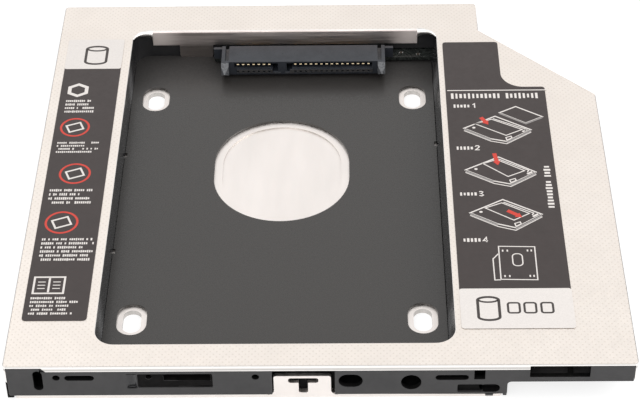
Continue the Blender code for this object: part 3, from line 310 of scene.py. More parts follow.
even = (1, 1, 1)
finishRecipes = {
    "embossed cover sheet": {
        "colours": ((0.845, 0.780, 0.722), (0.885, 0.820, 0.762)), "patches": (9.0, even, 4),
        "roughness": (0.36, 0.50), "gloss": (1.4, even, 5), "metal": 1},
    # faces off the sheet's top, bends and cut edges, are lighter than the sheet: bare metal at the
    # cut edges, and a painted highlight along the bends
    "bare cover edge with painted highlight": {
        "colours": ((0.96, 0.93, 0.90), (0.98, 0.955, 0.93)), "patches": (4.0, (3, 1, 1)),
        "roughness": (0.26, 0.42), "gloss": (0.8, (4, 1, 1)), "relief": (0.003, 0.10, (8, 1, 1)),
        "metal": 1},
    # the outer side bends are painted much darker than the same sheet: painted shade
    "outer side fold, painted shade": {
        "colours": ((0.34, 0.325, 0.31), (0.40, 0.385, 0.37)), "patches": (3.0, (1, 5, 1)),
        "roughness": 0.40, "relief": (0.003, 0.10, (1, 8, 1)), "metal": 1},
    "brushed rear flange": {
        "colours": ((0.60, 0.53, 0.50), (0.90, 0.81, 0.77)), "patches": (0.7, (30, 1, 1)),
        "roughness": (0.28, 0.50), "gloss": (0.3, (30, 1, 1)), "relief": (0.004, 0.08, (60, 1, 1)),
        "metal": 1},
    "rolled base plate": {
        "colours": ((0.85, 0.80, 0.765), (0.92, 0.865, 0.83)), "patches": (6.0, (1, 5, 1), 5),
        "roughness": (0.32, 0.50), "gloss": (1.0, (1, 6, 1)), "relief": (0.003, 0.10, (1, 20, 1)),
        "metal": 1},
    # the slot walls are painted darker than the plate: painted shade, over a real sheared grain
    "sheared slot edge, painted shade": {
        "colours": ((0.54, 0.515, 0.49), (0.64, 0.61, 0.585)), "patches": (0.8, (1, 1, 4)),
        "roughness": 0.42, "relief": (0.004, 0.08, (1, 1, 6)), "metal": 1},
    "black moulded plastic": {
        "colours": ((0.034, 0.033, 0.034), (0.046, 0.044, 0.045)), "patches": (5.0, even, 5),
        "roughness": (0.38, 0.54), "gloss": (1.2, even, 4), "relief": (0.010, 0.16, even, 4)},
    "polished bay wall": {
        "colours": ((0.020, 0.020, 0.022), (0.034, 0.033, 0.034)), "patches": (7.0,),
        "roughness": (0.12, 0.24), "gloss": (2.2, even, 4), "relief": (0.02, 3.5, even, 2)},
    # near-black, hardly glossy faces inside the front bar's openings and on the latch panel:
    # painted shade
    "black recess, painted shade": {
        "colours": ((0.008, 0.008, 0.008), (0.014, 0.013, 0.013)), "patches": (1.5, even, 4),
        "roughness": 0.6, "relief": (0.006, 0.2), "specular": 0.04},
    "satin liner film": {
        "colours": ((0.018, 0.015, 0.013), (0.027, 0.023, 0.020)), "patches": (0.35, even, 5, 0.7),
        "roughness": 0.28, "relief": (0.006, 0.22, even, 5), "specular": 0.78},
    "black board lacquer": {
        "colours": ((0.014, 0.016, 0.015), (0.030, 0.034, 0.031)), "roughness": (0.20, 0.34),
        "gloss": (0.8,)},
    "blue-black connector resin": {
        "colours": ((0.018, 0.021, 0.028), (0.032, 0.036, 0.045)), "patches": (2.5, even, 5),
        "roughness": (0.28, 0.44), "gloss": (0.6,), "relief": (0.006, 0.12, even, 4)},
    # the arm tips' much lighter resin is a painted highlight
    "connector resin, painted highlight": {
        "colours": ((0.06, 0.064, 0.072), (0.20, 0.205, 0.215)), "patches": (0.5, even, 5),
        "roughness": (0.24, 0.38), "gloss": (0.3,), "relief": (0.006, 0.12, even, 4)},
    "gold-plated contact": {
        "colours": ((0.78, 0.60, 0.36), (0.93, 0.80, 0.58)), "patches": (0.5, even, 4),
        "roughness": (0.18, 0.32), "gloss": (0.2,), "relief": (0.001, 0.05, (1, 6, 1)),
        "metal": 1},
    "zinc-plated screw steel": {
        "colours": ((0.48, 0.47, 0.45), (0.70, 0.69, 0.67)), "patches": (0.6, even, 4),
        "roughness": (0.22, 0.40), "gloss": (0.25,), "relief": (0.002, 0.07), "metal": 1},
    "bright solder": {
        "colours": ((0.74, 0.74, 0.73), (0.74, 0.74, 0.73)), "roughness": (0.14, 0.32),
        "gloss": (0.3,), "relief": (0.006, 0.25), "metal": 1},
    "chip ceramic": {
        "colours": ((0.05, 0.04, 0.03), (0.10, 0.075, 0.06)), "patches": (0.2, even, 5),
        "roughness": 0.45, "relief": (0.004, 0.08)},
    "black label film": {
        "colours": ((0.036, 0.026, 0.024), (0.044, 0.032, 0.030)), "patches": (3.0, even, 6, 0.65),
        "roughness": (0.36, 0.50), "gloss": (1.0,), "relief": (0.004, 0.30)},
}
inks = {"white print": (0.92, 0.865, 0.825), "grey print": (0.42, 0.39, 0.38),
        "red print": (0.74, 0.060, 0.038), "dark print": (0.050, 0.040, 0.036)}
# the sunk dots of the emboss are also painted darker: painted shade in the dimples
dotLook = {"rowPitch": 0.75, "dotPitch": 1.3, "depth": 0.022, "colour": (0.755, 0.690, 0.625),
           "rowEdge": (0.35, 0.85), "dotEdge": (0.62, 0.92)}
# a grey band painted along the front fold: painted shade in its crease
creaseShadeLook = {"heights": (8.15, 8.35, 8.70, 8.90), "front": (0.61, 0.60),
              "colour": (0.60, 0.58, 0.56)}
# the flange is painted brighter near its ends and darker down its tab: painted highlight and
# painted shade
flangeLook = {"bright": (23.8, 30.8, 78.8, 85.8), "paintedHighlightColour": (0.97, 0.87, 0.83),
              "lessMetal": -0.45, "tabHeights": (5.8, 4.6), "paintedTabShadeColour": (0.34, 0.30, 0.28)}
# lighter patches near the front and rear of the bay walls: painted highlights
wallHighlightLook = {"places": (17.5, 99.5), "reach": 6.5, "colour": (0.22, 0.22, 0.225),
             "grain": (1.6, (1, 2.5, 1), 3)}
linerLook = {"rear": (96.0, 113.0), "rearShadeColour": (0.011, 0.009, 0.008), "grain": 0.5,
             "rougher": 1.6, "roughness": (0.22, 0.34)}
trackLook = {"size": 6.0, "rings": 9.0, "edges": (0.45, 0.60), "depth": 0.02}


def embossSheet(sheet):
    dots = dotRows(sheet, dotLook)
    # painted shade: the sunk dots take a darker colour than the sheet
    tintWhere(sheet, dots, dotLook["colour"])
    addRelief(sheet, calculate(sheet.node_tree, "SUBTRACT", 1.0, dots), dotLook["depth"])
    addRelief(sheet, noise(sheet, 0.12), 0.004)


def paintCreaseShade(fold):
    # painted shade: a grey band along the front fold's crease
    crease = calculate(fold.node_tree, "MULTIPLY", band(fold, "Z", *creaseShadeLook["heights"]),
                       slope(fold, "Y", *creaseShadeLook["front"]))
    tintWhere(fold, crease, creaseShadeLook["colour"])


def paintFlangeHighlightAndShade(flange):
    # painted highlight, brighter and less metallic towards both ends, and painted shade, darker
    # down the tab
    tree = flange.node_tree
    ends = calculate(tree, "SUBTRACT", 1.0, band(flange, "X", *flangeLook["bright"]))
    tintWhere(flange, ends, flangeLook["paintedHighlightColour"])
    tintWhere(flange, slope(flange, "Z", *flangeLook["tabHeights"]), flangeLook["paintedTabShadeColour"])
    tree.links.new(calculate(tree, "MULTIPLY_ADD", ends, flangeLook["lessMetal"], 1.0),
                   tree.nodes["Principled BSDF"].inputs["Metallic"])


def paintWallHighlights(wall):
    # painted highlights: lighter patches near both ends of the bay walls
    tree, reach = wall.node_tree, wallHighlightLook["reach"]
    first, second = (band(wall, "Y", y - reach, y, y, y + reach) for y in wallHighlightLook["places"])
    grain = softStep(tree, noise(wall, *wallHighlightLook["grain"]), 0.30, 0.70)
    mask = calculate(tree, "MULTIPLY", calculate(tree, "MAXIMUM", first, second),
                     calculate(tree, "MULTIPLY_ADD", grain, 0.5, 0.5))
    tintWhere(wall, mask, wallHighlightLook["colour"])


def paintLinerRearShade(film):
    # painted shade, darker towards the rear; duller there too
    tree = film.node_tree
    rear = slope(film, "Y", *linerLook["rear"])
    tintWhere(film, rear, linerLook["rearShadeColour"])
    duller = calculate(tree, "ADD", noise(film, linerLook["grain"]),
                       calculate(tree, "MULTIPLY", rear, linerLook["rougher"]))
    varyRoughness(film, duller, *linerLook["roughness"])


def traceBoard(lacquer):
    tree = lacquer.node_tree
    tracks = tented(tree, calculate(tree, "MULTIPLY", noise(lacquer, trackLook["size"], detail=1),
                                    trackLook["rings"]))
    varyColour(lacquer, tracks, *finishRecipes["black board lacquer"]["colours"],
               *trackLook["edges"])
    addRelief(lacquer, tracks, trackLook["depth"])


finishes = {name: makeFinish(name, **recipe) for name, recipe in finishRecipes.items()}
for name, colour in inks.items():
    thin = tuple(0.90 * part for part in colour)
    finishes[name] = makeFinish(name, (thin, colour), (0.25, even, 4), 0.46, relief=(0.002, 0.12))
embossSheet(finishes["embossed cover sheet"])
paintCreaseShade(finishes["bare cover edge with painted highlight"])
paintFlangeHighlightAndShade(finishes["brushed rear flange"])
paintWallHighlights(finishes["polished bay wall"])
paintLinerRearShade(finishes["satin liner film"])
traceBoard(finishes["black board lacquer"])
print("finishes made:", len(finishes))


# tools that turn CAD nodes into finished pieces

edgeWork = {"mergeWithin": 0.001, "flatWithin": 1.0, "sharpFrom": 30.0}


def finishedPiece(name, mesh, replaced=()):
    piece = newObject(name, mesh)
    if replaced:
        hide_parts(*replaced)
    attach(piece, body)
    return piece


def baked(host):
    # the plain mesh that an object's modifiers make; the object itself goes away
    graph = bpy.context.evaluated_depsgraph_get()
    made = bpy.data.meshes.new_from_object(host.evaluated_get(graph), depsgraph=graph)
    host.modifiers.clear()
    bpy.data.objects.remove(host)
    return made


def withModifiers(mesh, *steps):
    host = newObject("work", mesh)
    for kind, settings in steps:
        step = host.modifiers.new(kind, kind)
        for key, value in settings.items():
            setattr(step, key, value)
    return baked(host)


def bevel(width, **more):
    return "BEVEL", {"width": width * mm, "segments": 2, "limit_method": "ANGLE", **more}


def toMesh(shape, name, outward=False):
    if outward:
        bmesh.ops.recalc_face_normals(shape, faces=shape.faces)
    mesh = bpy.data.meshes.new(name)
    shape.to_mesh(mesh)
    shape.free()
    return mesh


def joinRings(shape, rings):
    made = []
    for near, far in zip(rings, rings[1:]):
        for i in range(len(near)):
            j = (i + 1) % len(near)
            made.append(shape.faces.new((near[i], near[j], far[j], far[i])))
    return made


def addPrism(shape, low, high):
    # a closed solid between two rings with the same number of points
    rings = [[shape.verts.new(point) for point in ring] for ring in (low, high)]
    return [shape.faces.new(rings[0][::-1]), shape.faces.new(rings[1])] + joinRings(shape, rings)


def cornersOf(x0, x1, y0, y1):
    return [(x0, y0), (x1, y0), (x1, y1), (x0, y1)]


def block(shape, x0, x1, y0, y1, z0, z1):
    return addPrism(shape, *([at(x, y, z) for x, y in cornersOf(x0, x1, y0, y1)]
                             for z in (z0, z1)))


def blockMesh(*blocks):
    shape = bmesh.new()
    for sides in blocks:
        block(shape, *sides)
    return toMesh(shape, "blocks")


def combined(mesh, operation, *tools):
    # cuts the tool meshes out of a mesh one by one, or joins them to it
    for tool in tools:
        held = newObject("tool", tool)
        mesh = withModifiers(mesh, ("BOOLEAN", {"object": held, "operation": operation,
                                                "solver": "EXACT"}))
        bpy.data.objects.remove(held)
    return mesh


def cutBlocks(mesh, *blocks):
    return combined(mesh, "DIFFERENCE", *(blockMesh(sides) for sides in blocks))


def joinBlocks(mesh, *blocks):
    return combined(mesh, "UNION", *(blockMesh(sides) for sides in blocks))


def mergedNode(node):
    mesh = nodes[node].data.copy()
    mesh.materials.clear()
    shape = bmesh.new()
    shape.from_mesh(mesh)
    bmesh.ops.remove_doubles(shape, verts=shape.verts, dist=edgeWork["mergeWithin"] * mm)
    shape.to_mesh(mesh)
    shape.free()
    return mesh


def sharpEdges(node, change):
    # the node's own shape, merged, with its cut edges left sharp
    mesh = change(mergedNode(node))
    for face in mesh.polygons:
        face.use_smooth = False
    return mesh


def brokenEdges(node, width, change=None):
    # the node's own shape, merged, with every sharp edge broken by a small rounded bevel
    mesh = mergedNode(node)
    if change:
        mesh = change(mesh)
    shape = bmesh.new()
    shape.from_mesh(mesh)
    bmesh.ops.remove_doubles(shape, verts=shape.verts, dist=edgeWork["mergeWithin"] * mm)
    bmesh.ops.dissolve_limit(shape, angle_limit=radians(edgeWork["flatWithin"]),
                             verts=shape.verts, edges=shape.edges)
    for face in shape.faces:
        face.smooth = True
    shape.to_mesh(mesh)
    shape.free()
    return withModifiers(
        mesh,
        bevel(width, angle_limit=radians(edgeWork["sharpFrom"]), use_clamp_overlap=False,
              harden_normals=False, loop_slide=False),
        ("WEIGHTED_NORMAL", {"keep_sharp": True, "weight": 80}))


def dress(mesh, names, chosen=None):
    # chosen gives the place in the names for a face, from its middle and its normal
    for name in names:
        mesh.materials.append(finishes[name])
    for face in mesh.polygons:
        face.material_index = chosen(onDrawing(face.center), face.normal) if chosen else 0
    return mesh


# the cover, its window's rear bend and which finish each face takes

cover = {"edge": 0.07, "topHeight": 9.45, "flange": (21.5, 88.0), "flangeDepth": (114.5, 115.9),
         "sides": (1.2, 126.8), "sideFrom": 8.8,
         "fold": {"left": 22.0, "right": 87.6, "bendEnd": 116.0, "bendFoot": 8.6, "hem": 5.3,
                  "front": 115.0, "tighter": 0.3}}


def tightenFold(mesh):
    # the flange's bend gets a smaller radius, and the flange moves back by the difference
    fold = cover["fold"]
    less = fold["tighter"]
    for vertex in mesh.vertices:
        place = onDrawing(vertex.co)
        inside = fold["left"] < place.x < fold["right"] \
            and fold["front"] < place.y < fold["bendEnd"] - 0.001
        if not inside:
            continue
        if place.z > fold["bendFoot"]:
            spoke = Vector((place.y - fold["bendEnd"], place.z - fold["bendFoot"]))
            spoke *= (spoke.length - less) / spoke.length
            y, z = fold["bendEnd"] + spoke.x, fold["bendFoot"] + less + spoke.y
        else:
            rise = max(0, place.z - fold["hem"]) / (fold["bendFoot"] - fold["hem"])
            y, z = place.y + less, place.z + less * rise
        vertex.co = at(place.x, y, z)
    return mesh


def coverFinish(place, normal):
    # top faces take the sheet; the flange's front, the outer side bends with their painted shade,
    # and the other edges with their painted highlight take their own finishes
    if normal.z > 0.98 and place.z > cover["topHeight"]:
        return 0
    onFlange = cover["flange"][0] < place.x < cover["flange"][1] \
        and cover["flangeDepth"][0] < place.y < cover["flangeDepth"][1]
    if onFlange and normal.y < -0.5:
        return 2
    outside = not cover["sides"][0] <= place.x <= cover["sides"][1]
    return 3 if outside and abs(normal.x) > 0.6 and place.z > cover["sideFrom"] else 1


finishedPiece("cover_shell", dress(
    brokenEdges("top_cover", cover["edge"], tightenFold),
    ["embossed cover sheet", "bare cover edge with painted highlight", "brushed rear flange", "outer side fold, painted shade"],
    coverFinish), ["top_cover"])


# the base plate, and the upright tab for the bezel's hook

plate = {
    "slots": {"left": 20.0, "right": 90.0, "front": 15.0, "rear": 108.0},
    "tab": {"left": 54.6, "right": 66.3, "front": 0.32, "rear": 1.32, "foot": 0.5, "top": 6.2,
            "corner": 0.5, "flare": 1.3, "footRise": 0.35, "edge": 0.09, "slotMiddle": 60.65,
            "barWidth": 6.1, "barLow": 4.25, "barTop": 5.55, "barEnd": 0.5, "stemWidth": 1.85,
            "stemLow": 1.45, "stemEnd": 0.45, "closing": (56.0, 65.3, 0.5, 5.6, 0.0, 1.2)},
}


def standing(outline, front, rear):
    # a plate cut to an (x, z) outline, standing between two depths
    shape = bmesh.new()
    addPrism(shape, *([at(x, y, z) for x, z in outline] for y in (rear, front)))
    return toMesh(shape, "standing", outward=True)


def arcPoints(x, z, radius, start, end, steps=5):
    return [(x + radius * cos(radians(start + (end - start) * i / steps)),
             z + radius * sin(radians(start + (end - start) * i / steps)))
            for i in range(steps + 1)]


def tabOutline():
    given = plate["tab"]
    left, right, top = given["left"], given["right"], given["top"]
    corner, flare, foot = given["corner"], given["flare"], given["foot"]
    low = foot + given["footRise"] + flare
    return ([(left - flare, foot), (right + flare, foot)]
            + arcPoints(right + flare, low, flare, -90, -180)
            + arcPoints(right - corner, top - corner, corner, 0, 90)
            + arcPoints(left + corner, top - corner, corner, 90, 180)
            + arcPoints(left - flare, low, flare, 0, -90))


def slotOutline():
    given = plate["tab"]
    middle, bar, stem = given["slotMiddle"], given["barWidth"] / 2, given["stemWidth"] / 2
    low, top, end = given["barLow"], given["barTop"], given["barEnd"]
    foot, curve = given["stemLow"], given["stemEnd"]
    return (arcPoints(middle + stem - curve, foot + curve, curve, -90, 0)
            + [(middle + stem, low)]
            + arcPoints(middle + bar - end, low + end, end, -90, 0)
            + arcPoints(middle + bar - end, top - end, end, 0, 90)
            + arcPoints(middle - bar + end, top - end, end, 90, 180)
            + arcPoints(middle - bar + end, low + end, end, 180, 270)
            + [(middle - stem, low)]
            + arcPoints(middle - stem + curve, foot + curve, curve, 180, 270))


def addHookTab(mesh):
    # the notch in the plate's front edge is closed, and an upright tab with a T slot stands there
    given = plate["tab"]
    mesh = joinBlocks(mesh, given["closing"])
    tab = combined(standing(tabOutline(), given["front"], given["rear"]), "DIFFERENCE",
                   standing(slotOutline(), given["front"] - 1, given["rear"] + 1))
    return combined(mesh, "UNION", withModifiers(tab, bevel(given["edge"])))


def plateFinish(place, normal):
    # the walls of the drive screw slots take the darker finish: painted shade
    slots = plate["slots"]
    within = slots["left"] < place.x < slots["right"] \
        and slots["front"] < place.y < slots["rear"]
    return 1 if within and abs(normal.z) < 0.5 else 0


finishedPiece("plate_underneath", dress(sharpEdges("base_plate", addHookTab),
                                        ["rolled base plate", "sheared slot edge, painted shade"], plateFinish),
              ["base_plate"])


# the moulded frame: the hook's room, the latch panel and the rear bridge

moulding = {
    "edge": 0.10, "hookRoom": (54.35, 67.05, -1, 5.05, 0.9, 8.3),
    "wingRib": (106.42, 118.48, -1.0, 3.2, 5.93, 9.45),
    "rearBridge": (36.0, 95.6, 116.1, 117.3, 3.4, 8.93),
    "rearBridgeEnd": (95.4, 101.2, 116.25, 117.25, 4.7, 8.9),
    "hookBacking": (54.0, 67.4, 1.75, 5.3, 1.3, 8.5),
    "latchFill": (33.4, 42.2, 0.7, 2.4, 3.6, 5.15), "latchSlot": (32.4, 41.9, -1.0, 2.2, 5.2, 6.25),
    "latchPanel": {"left": 26.9, "right": 42.5, "wasDeep": 0.7, "deep": 0.25},
    "latchHole": {"from": (30.1, 6.6), "to": (29.35, 6.25), "reach": 0.75, "grown": 1.2,
                  "depth": 1.3},
    "zones": {"bayLeft": 17.2, "bayRight": 92.3, "bayFront": 5.9, "bayRear": 116.6,
              "bayFloor": 1.9, "darkFrom": 0.55, "darkTo": 5.6, "darkFloor": 1.3,
              "groove": (24.3, 27.05), "grooveFloor": 1.6},
}


def changeFrame(mesh):
    given = moulding
    mesh = cutBlocks(mesh, given["hookRoom"], given["wingRib"])
    mesh = joinBlocks(mesh, given["rearBridge"], given["rearBridgeEnd"], given["hookBacking"],
                      given["latchFill"])
    mesh = cutBlocks(mesh, given["latchSlot"])
    panel, hole = given["latchPanel"], given["latchHole"]
    was, now = Vector(hole["from"]), Vector(hole["to"])
    for vertex in mesh.vertices:
        place = onDrawing(vertex.co)
        if panel["left"] < place.x < panel["right"] and abs(place.y - panel["wasDeep"]) < 0.01:
            place.y = panel["deep"]
            vertex.co = at(*place)
        spoke = Vector((place.x, place.z)) - was
        if place.y < hole["depth"] and spoke.length < hole["reach"]:
            moved = now + spoke * hole["grown"]
            vertex.co = at(moved.x, place.y, moved.y)
    return mesh


def frameFinish(place, normal):
    zone, panel = moulding["zones"], moulding["latchPanel"]
    inside = zone["bayLeft"] < place.x < zone["bayRight"] \
        and zone["bayFront"] < place.y < zone["bayRear"]
    if inside and place.z > zone["bayFloor"] and abs(normal.z) < 0.9:
        return 1
    # the insides of the front bar's openings and the latch panel's face take the near-black finish:
    # painted shade
    if zone["darkFrom"] < place.y < zone["darkTo"] and place.z > zone["darkFloor"] \
            and normal.z > -0.9:
        return 2
    if panel["left"] < place.x < panel["right"] and 0.1 < place.y < 0.5 and normal.y < -0.9:
        return 2
    grooved = zone["groove"][0] < place.x < zone["groove"][1] \
        and 0.02 < place.y < zone["darkFrom"]
    return 1 if grooved and place.z > zone["grooveFloor"] else 0


finishedPiece("frame_moulding", dress(
    brokenEdges("moulded_frame", moulding["edge"], changeFrame),
    ["black moulded plastic", "polished bay wall", "black recess, painted shade"], frameFinish),
    ["moulded_frame"])


# the liner, whose edge lies close to the bay's walls, and the bare board

liner = {"edge": 0.05, "left": (19.0, -0.31), "right": (89.8, 0.38), "front": (7.2, -0.2),
         "rear": 116.0, "wasRear": 114.8, "wasRadius": 4.2, "radius": 3.0,
         "wasSides": (18.4, 90.4), "sides": (18.09, 90.78)}


def cornerPlace(place):
    # where a point of the liner's rear corners goes, or None for any other point
    for side, was, now in zip((1, -1), liner["wasSides"], liner["sides"]):
        spoke = Vector((place.x, place.y)) - Vector((was + side * liner["wasRadius"],
                                                     liner["wasRear"] - liner["wasRadius"]))
        if spoke.x * side <= 0.001 and spoke.y >= -0.001 and spoke.length > 4.0:
            middle = Vector((now + side * liner["radius"], liner["rear"] - liner["radius"]))
            return middle + spoke.normalized() * liner["radius"]
    return None


def widenLiner(mesh):
    # the film reaches closer to the bay's walls
    for vertex in mesh.vertices:
        place = onDrawing(vertex.co)
        corner = cornerPlace(place)
        if corner:
            vertex.co = at(corner.x, corner.y, place.z)
            continue
        if place.y > liner["wasRear"] - 0.1:
            place.y = liner["rear"]
        if place.x < liner["left"][0]:
            place.x += liner["left"][1]
        if place.x > liner["right"][0]:
            place.x += liner["right"][1]
        if place.y < liner["front"][0]:
            place.y += liner["front"][1]
        vertex.co = at(*place)
    return mesh


finishedPiece("liner_sheet", dress(brokenEdges("bay_liner", liner["edge"], widenLiner),
                                   ["satin liner film"]), ["bay_liner"])
finishedPiece("board_blank", dress(brokenEdges("circuit_board", 0.05), ["black board lacquer"]),
              ["circuit_board"])


# the connector that takes the drive, and the plug at the rear

connector = {"edge": 0.05, "middle": 59.35, "bodyHalf": 18.095, "armOut": 19.9,
             "armMiddle": 19.02, "end": 22.5, "before": 103, "front": 106.8, "rear": 113.9,
             "low": 2.6, "top": 6.4, "above": 9, "tipTop": (0.05, 1.171), "tipLow": (0.05, 0.829),
             "channelFront": 107.4, "channelDepth": 0.9, "shoulderTop": 6.1,
             "shoulderFront": 112.5, "shoulderAbove": 9.5, "lipReach": 0.34,
             "pocketHalf": 0.27, "pocketHeights": (3.50, 3.88), "pocketDepth": 0.55,
             "lips": ((-16.1, -7.45, 3.30, 4.30), (-3.25, 16.9, 3.30, 4.30),
                      (-7.4, -5.5, 3.12, 3.36), (-4.4, -2.3, 3.12, 3.36))}


def changeConnector(mesh):
    # arms with tapered tips and a channel along them, low shoulders, lips below the mouths, and
    # a row of pockets in the lips, one for each contact
    given = connector
    middle, front, above = given["middle"], given["front"], given["above"]
    cuts = []
    for side in (-1, 1):
        shoulder = sorted((middle + side * given["armOut"], middle + side * given["end"]))
        channel = sorted((middle + side * (given["bodyHalf"] + 0.03),
                          middle + side * given["armMiddle"]))
        cuts += [(*shoulder, given["before"], given["rear"], given["shoulderTop"], above),
                 (*shoulder, given["before"], given["shoulderFront"], 0, given["shoulderAbove"]),
                 (*channel, given["channelFront"], given["rear"],
                  given["top"] - given["channelDepth"], above)]
    mesh = cutBlocks(mesh, *cuts)
    mesh = joinBlocks(mesh, *((middle + x0, middle + x1, front - given["lipReach"], front + 0.1,
                               z0, z1) for x0, x1, z0, z1 in given["lips"]))
    pockets = []
    for node in nodes:
        if node.startswith("drive_") and "_contact_" in node:
            x = sum(onDrawing(corner).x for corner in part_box(node)) / 2
            pockets.append((x - given["pocketHalf"], x + given["pocketHalf"], front - 1,
                            front + given["pocketDepth"], *given["pocketHeights"]))
    mesh = combined(mesh, "DIFFERENCE", blockMesh(*pockets))
    shape = bmesh.new()
    shape.from_mesh(mesh)
    for height, up, (setback, steepness) in ((given["top"], 1, given["tipTop"]),
                                             (given["low"], -1, given["tipLow"])):
        made = bmesh.ops.bisect_plane(shape, geom=[*shape.verts, *shape.edges, *shape.faces],
                                      clear_outer=True,
                                      plane_co=at(0, front - given["lipReach"] - setback, height),
                                      plane_no=(0, -steepness, up))
        rim = [part for part in made["geom_cut"] if isinstance(part, bmesh.types.BMEdge)]
        bmesh.ops.holes_fill(shape, edges=rim, sides=0)
    return toMesh(shape, "connector", outward=True)


def connectorFinish(place, normal):
    if place.y < connector["front"] - 0.3 and normal.y < -0.9:
        return 2
    # the tips' faces take the lighter resin: a painted highlight
    tip = abs(place.x - connector["middle"]) > connector["bodyHalf"] \
        and place.y < connector["front"]
    return 1 if tip and abs(normal.y) > 0.2 else 0


finishedPiece("connector_housing", dress(
    brokenEdges("drive_connector", connector["edge"], changeConnector),
    ["blue-black connector resin", "connector resin, painted highlight", "black moulded plastic"],
    connectorFinish), ["drive_connector"])
finishedPiece("plug_housing", dress(brokenEdges("host_plug", 0.06), ["blue-black connector resin"]),
              ["host_plug"])
print("sheet parts, moulding, liner, board and connectors finished")


# curved lips that close the window's rear corners beside the flange

cornerLips = {"radius": 4.2, "inside": 0.02, "top": 9.48, "steps": 16,
              "corners": {"left": (22.0, 111.8, 84.0, 172.0), "right": (87.6, 111.8, 96.0, 12.0)},
              "reachAtFlange": 0.85, "reachAtEnd": 0.16, "droopAtFlange": 2.2, "droopAtEnd": 0.30,
              "reachFade": 0.8, "droopFade": 0.7, "steepest": 0.6}


def lipSection(part):
    # (reach from the corner's middle, height) round the lip, part of the way from the flange
    given = cornerLips
    outer, top = given["radius"] - given["inside"], given["top"]
    reach, droop = (given[key + "AtFlange"]
                    + (given[key + "AtEnd"] - given[key + "AtFlange"]) * part ** given[key + "Fade"]
                    for key in ("reach", "droop"))
    fall = min(reach, droop * given["steepest"])
    return [(outer, top), (outer - reach * 0.35, top - fall * 0.20),
            (outer - reach * 0.75, top - fall * 0.62), (outer - reach, top - fall),
            (outer - reach, top - droop), (outer - reach * 0.8, top - droop),
            (outer - reach * 0.5, top - fall), (outer, top - fall * 0.5)]


def drawLips():
    shape = bmesh.new()
    for x, y, start, end in cornerLips["corners"].values():
        rings = []
        for i in range(cornerLips["steps"] + 1):
            part = i / cornerLips["steps"]
            angle = radians(start + (end - start) * part)
            rings.append([shape.verts.new(at(x + reach * cos(angle), y + reach * sin(angle), z))
                          for reach, z in lipSection(part)])
        joinRings(shape, rings)
        shape.faces.new(rings[0][::-1])
        shape.faces.new(rings[-1])
    for face in shape.faces:
        face.smooth = True
    mesh = toMesh(shape, "lips", outward=True)
    # the lips take the lighter edge finish, with its painted highlight
    mesh.materials.append(finishes["bare cover edge with painted highlight"])
    return withModifiers(mesh, ("WEIGHTED_NORMAL", {"keep_sharp": True, "weight": 60}))


finishedPiece("corner_lips", drawLips())
print("corner lips drawn")


# Geometry Nodes shared by the repeated details

def newTree(name, inputs):
    tree = bpy.data.node_groups.new(name, "GeometryNodeTree")
    tree.interface.new_socket("Geometry", in_out="OUTPUT", socket_type="NodeSocketGeometry")
    for label, kind, default in inputs:
        socket = tree.interface.new_socket(label, in_out="INPUT", socket_type="NodeSocket" + kind)
        if default is not None:
            socket.default_value = default
    return tree, tree.nodes.new("NodeGroupInput").outputs


def closeTree(tree, instances, material):
    solid = addNode(tree, "GeometryNodeRealizeInstances", {0: instances})
    painted = addNode(tree, "GeometryNodeSetMaterial",
                      {"Geometry": solid.outputs[0], "Material": material})
    addNode(tree, "NodeGroupOutput", {0: painted.outputs[0]})
    return tree


def grown(tree, values, points=()):
    # the tree's result on a set of points, as a plain mesh
    seeds = bpy.data.meshes.new("points")
    seeds.from_pydata([tuple(point) for point in points], [], [])
    host = newObject("work", seeds)
    growth = host.modifiers.new("growth", "NODES")
    growth.node_group = tree
    for socket in tree.interface.items_tree:
        if socket.in_out == "INPUT" and socket.name in values:
            growth[socket.identifier] = values[socket.name]
    return baked(host)


# screws: one turned screw of each kind, put in place by a tree

screwHeads = {
    "countersunk": {"nodes": ["base_screw_1", "base_screw_2", "base_screw_3", "base_screw_4"],
                    "down": True, "headRadius": 1.8, "headHeight": 0.95, "crown": 0.0},
    "pan": {"nodes": ["board_screw_1", "board_screw_2"], "down": False, "headRadius": 1.7,
            "headHeight": 1.1, "crown": 0.42},
}
screwShape = {"shankRadius": 0.8, "length": 4.2, "threadPitch": 0.4, "threadDepth": 0.12,
              "crossSpan": 1.9, "crossWidth": 0.42, "crossDepth": 0.62, "crossTaper": 0.45,
              "around": 32}


def screwProfile(head):
    # (radius, depth below the head's top face)
    radius, crown, shank = head["headRadius"], head["crown"], screwShape["shankRadius"]
    profile = [(0.0, 0.0)]
    if crown:
        profile += [(radius * 0.55, crown * 0.14), (radius * 0.82, crown * 0.45),
                    (radius * 0.97, crown), (radius, crown * 1.5),
                    (radius, head["headHeight"] - 0.05), (radius - 0.05, head["headHeight"])]
    else:
        profile += [(radius - 0.06, 0.0), (radius, 0.06), (radius * 0.98, 0.16)]
    depth = head["headHeight"]
    while depth < screwShape["length"] - screwShape["threadPitch"]:
        profile += [(shank - screwShape["threadDepth"], depth + 0.08),
                    (shank, depth + screwShape["threadPitch"] * 0.55)]
        depth += screwShape["threadPitch"]
    return profile + [(shank * 0.6, screwShape["length"]), (0.0, screwShape["length"])]


def turned(profile, around):
    # a closed turned shape about the z axis, its top at the origin
    shape = bmesh.new()
    rings = []
    for radius, depth in profile:
        if radius == 0:
            rings.append([shape.verts.new((0, 0, -depth * mm))])
            continue
        rings.append([shape.verts.new((radius * mm * cos(2 * pi * i / around),
                                       radius * mm * sin(2 * pi * i / around), -depth * mm))
                      for i in range(around)])
    joinRings(shape, rings[1:-1])
    for i in range(around):
        j = (i + 1) % around
        shape.faces.new((rings[0][0], rings[1][i], rings[1][j]))
        shape.faces.new((rings[-2][i], rings[-1][0], rings[-2][j]))
    return toMesh(shape, "turned", outward=True)


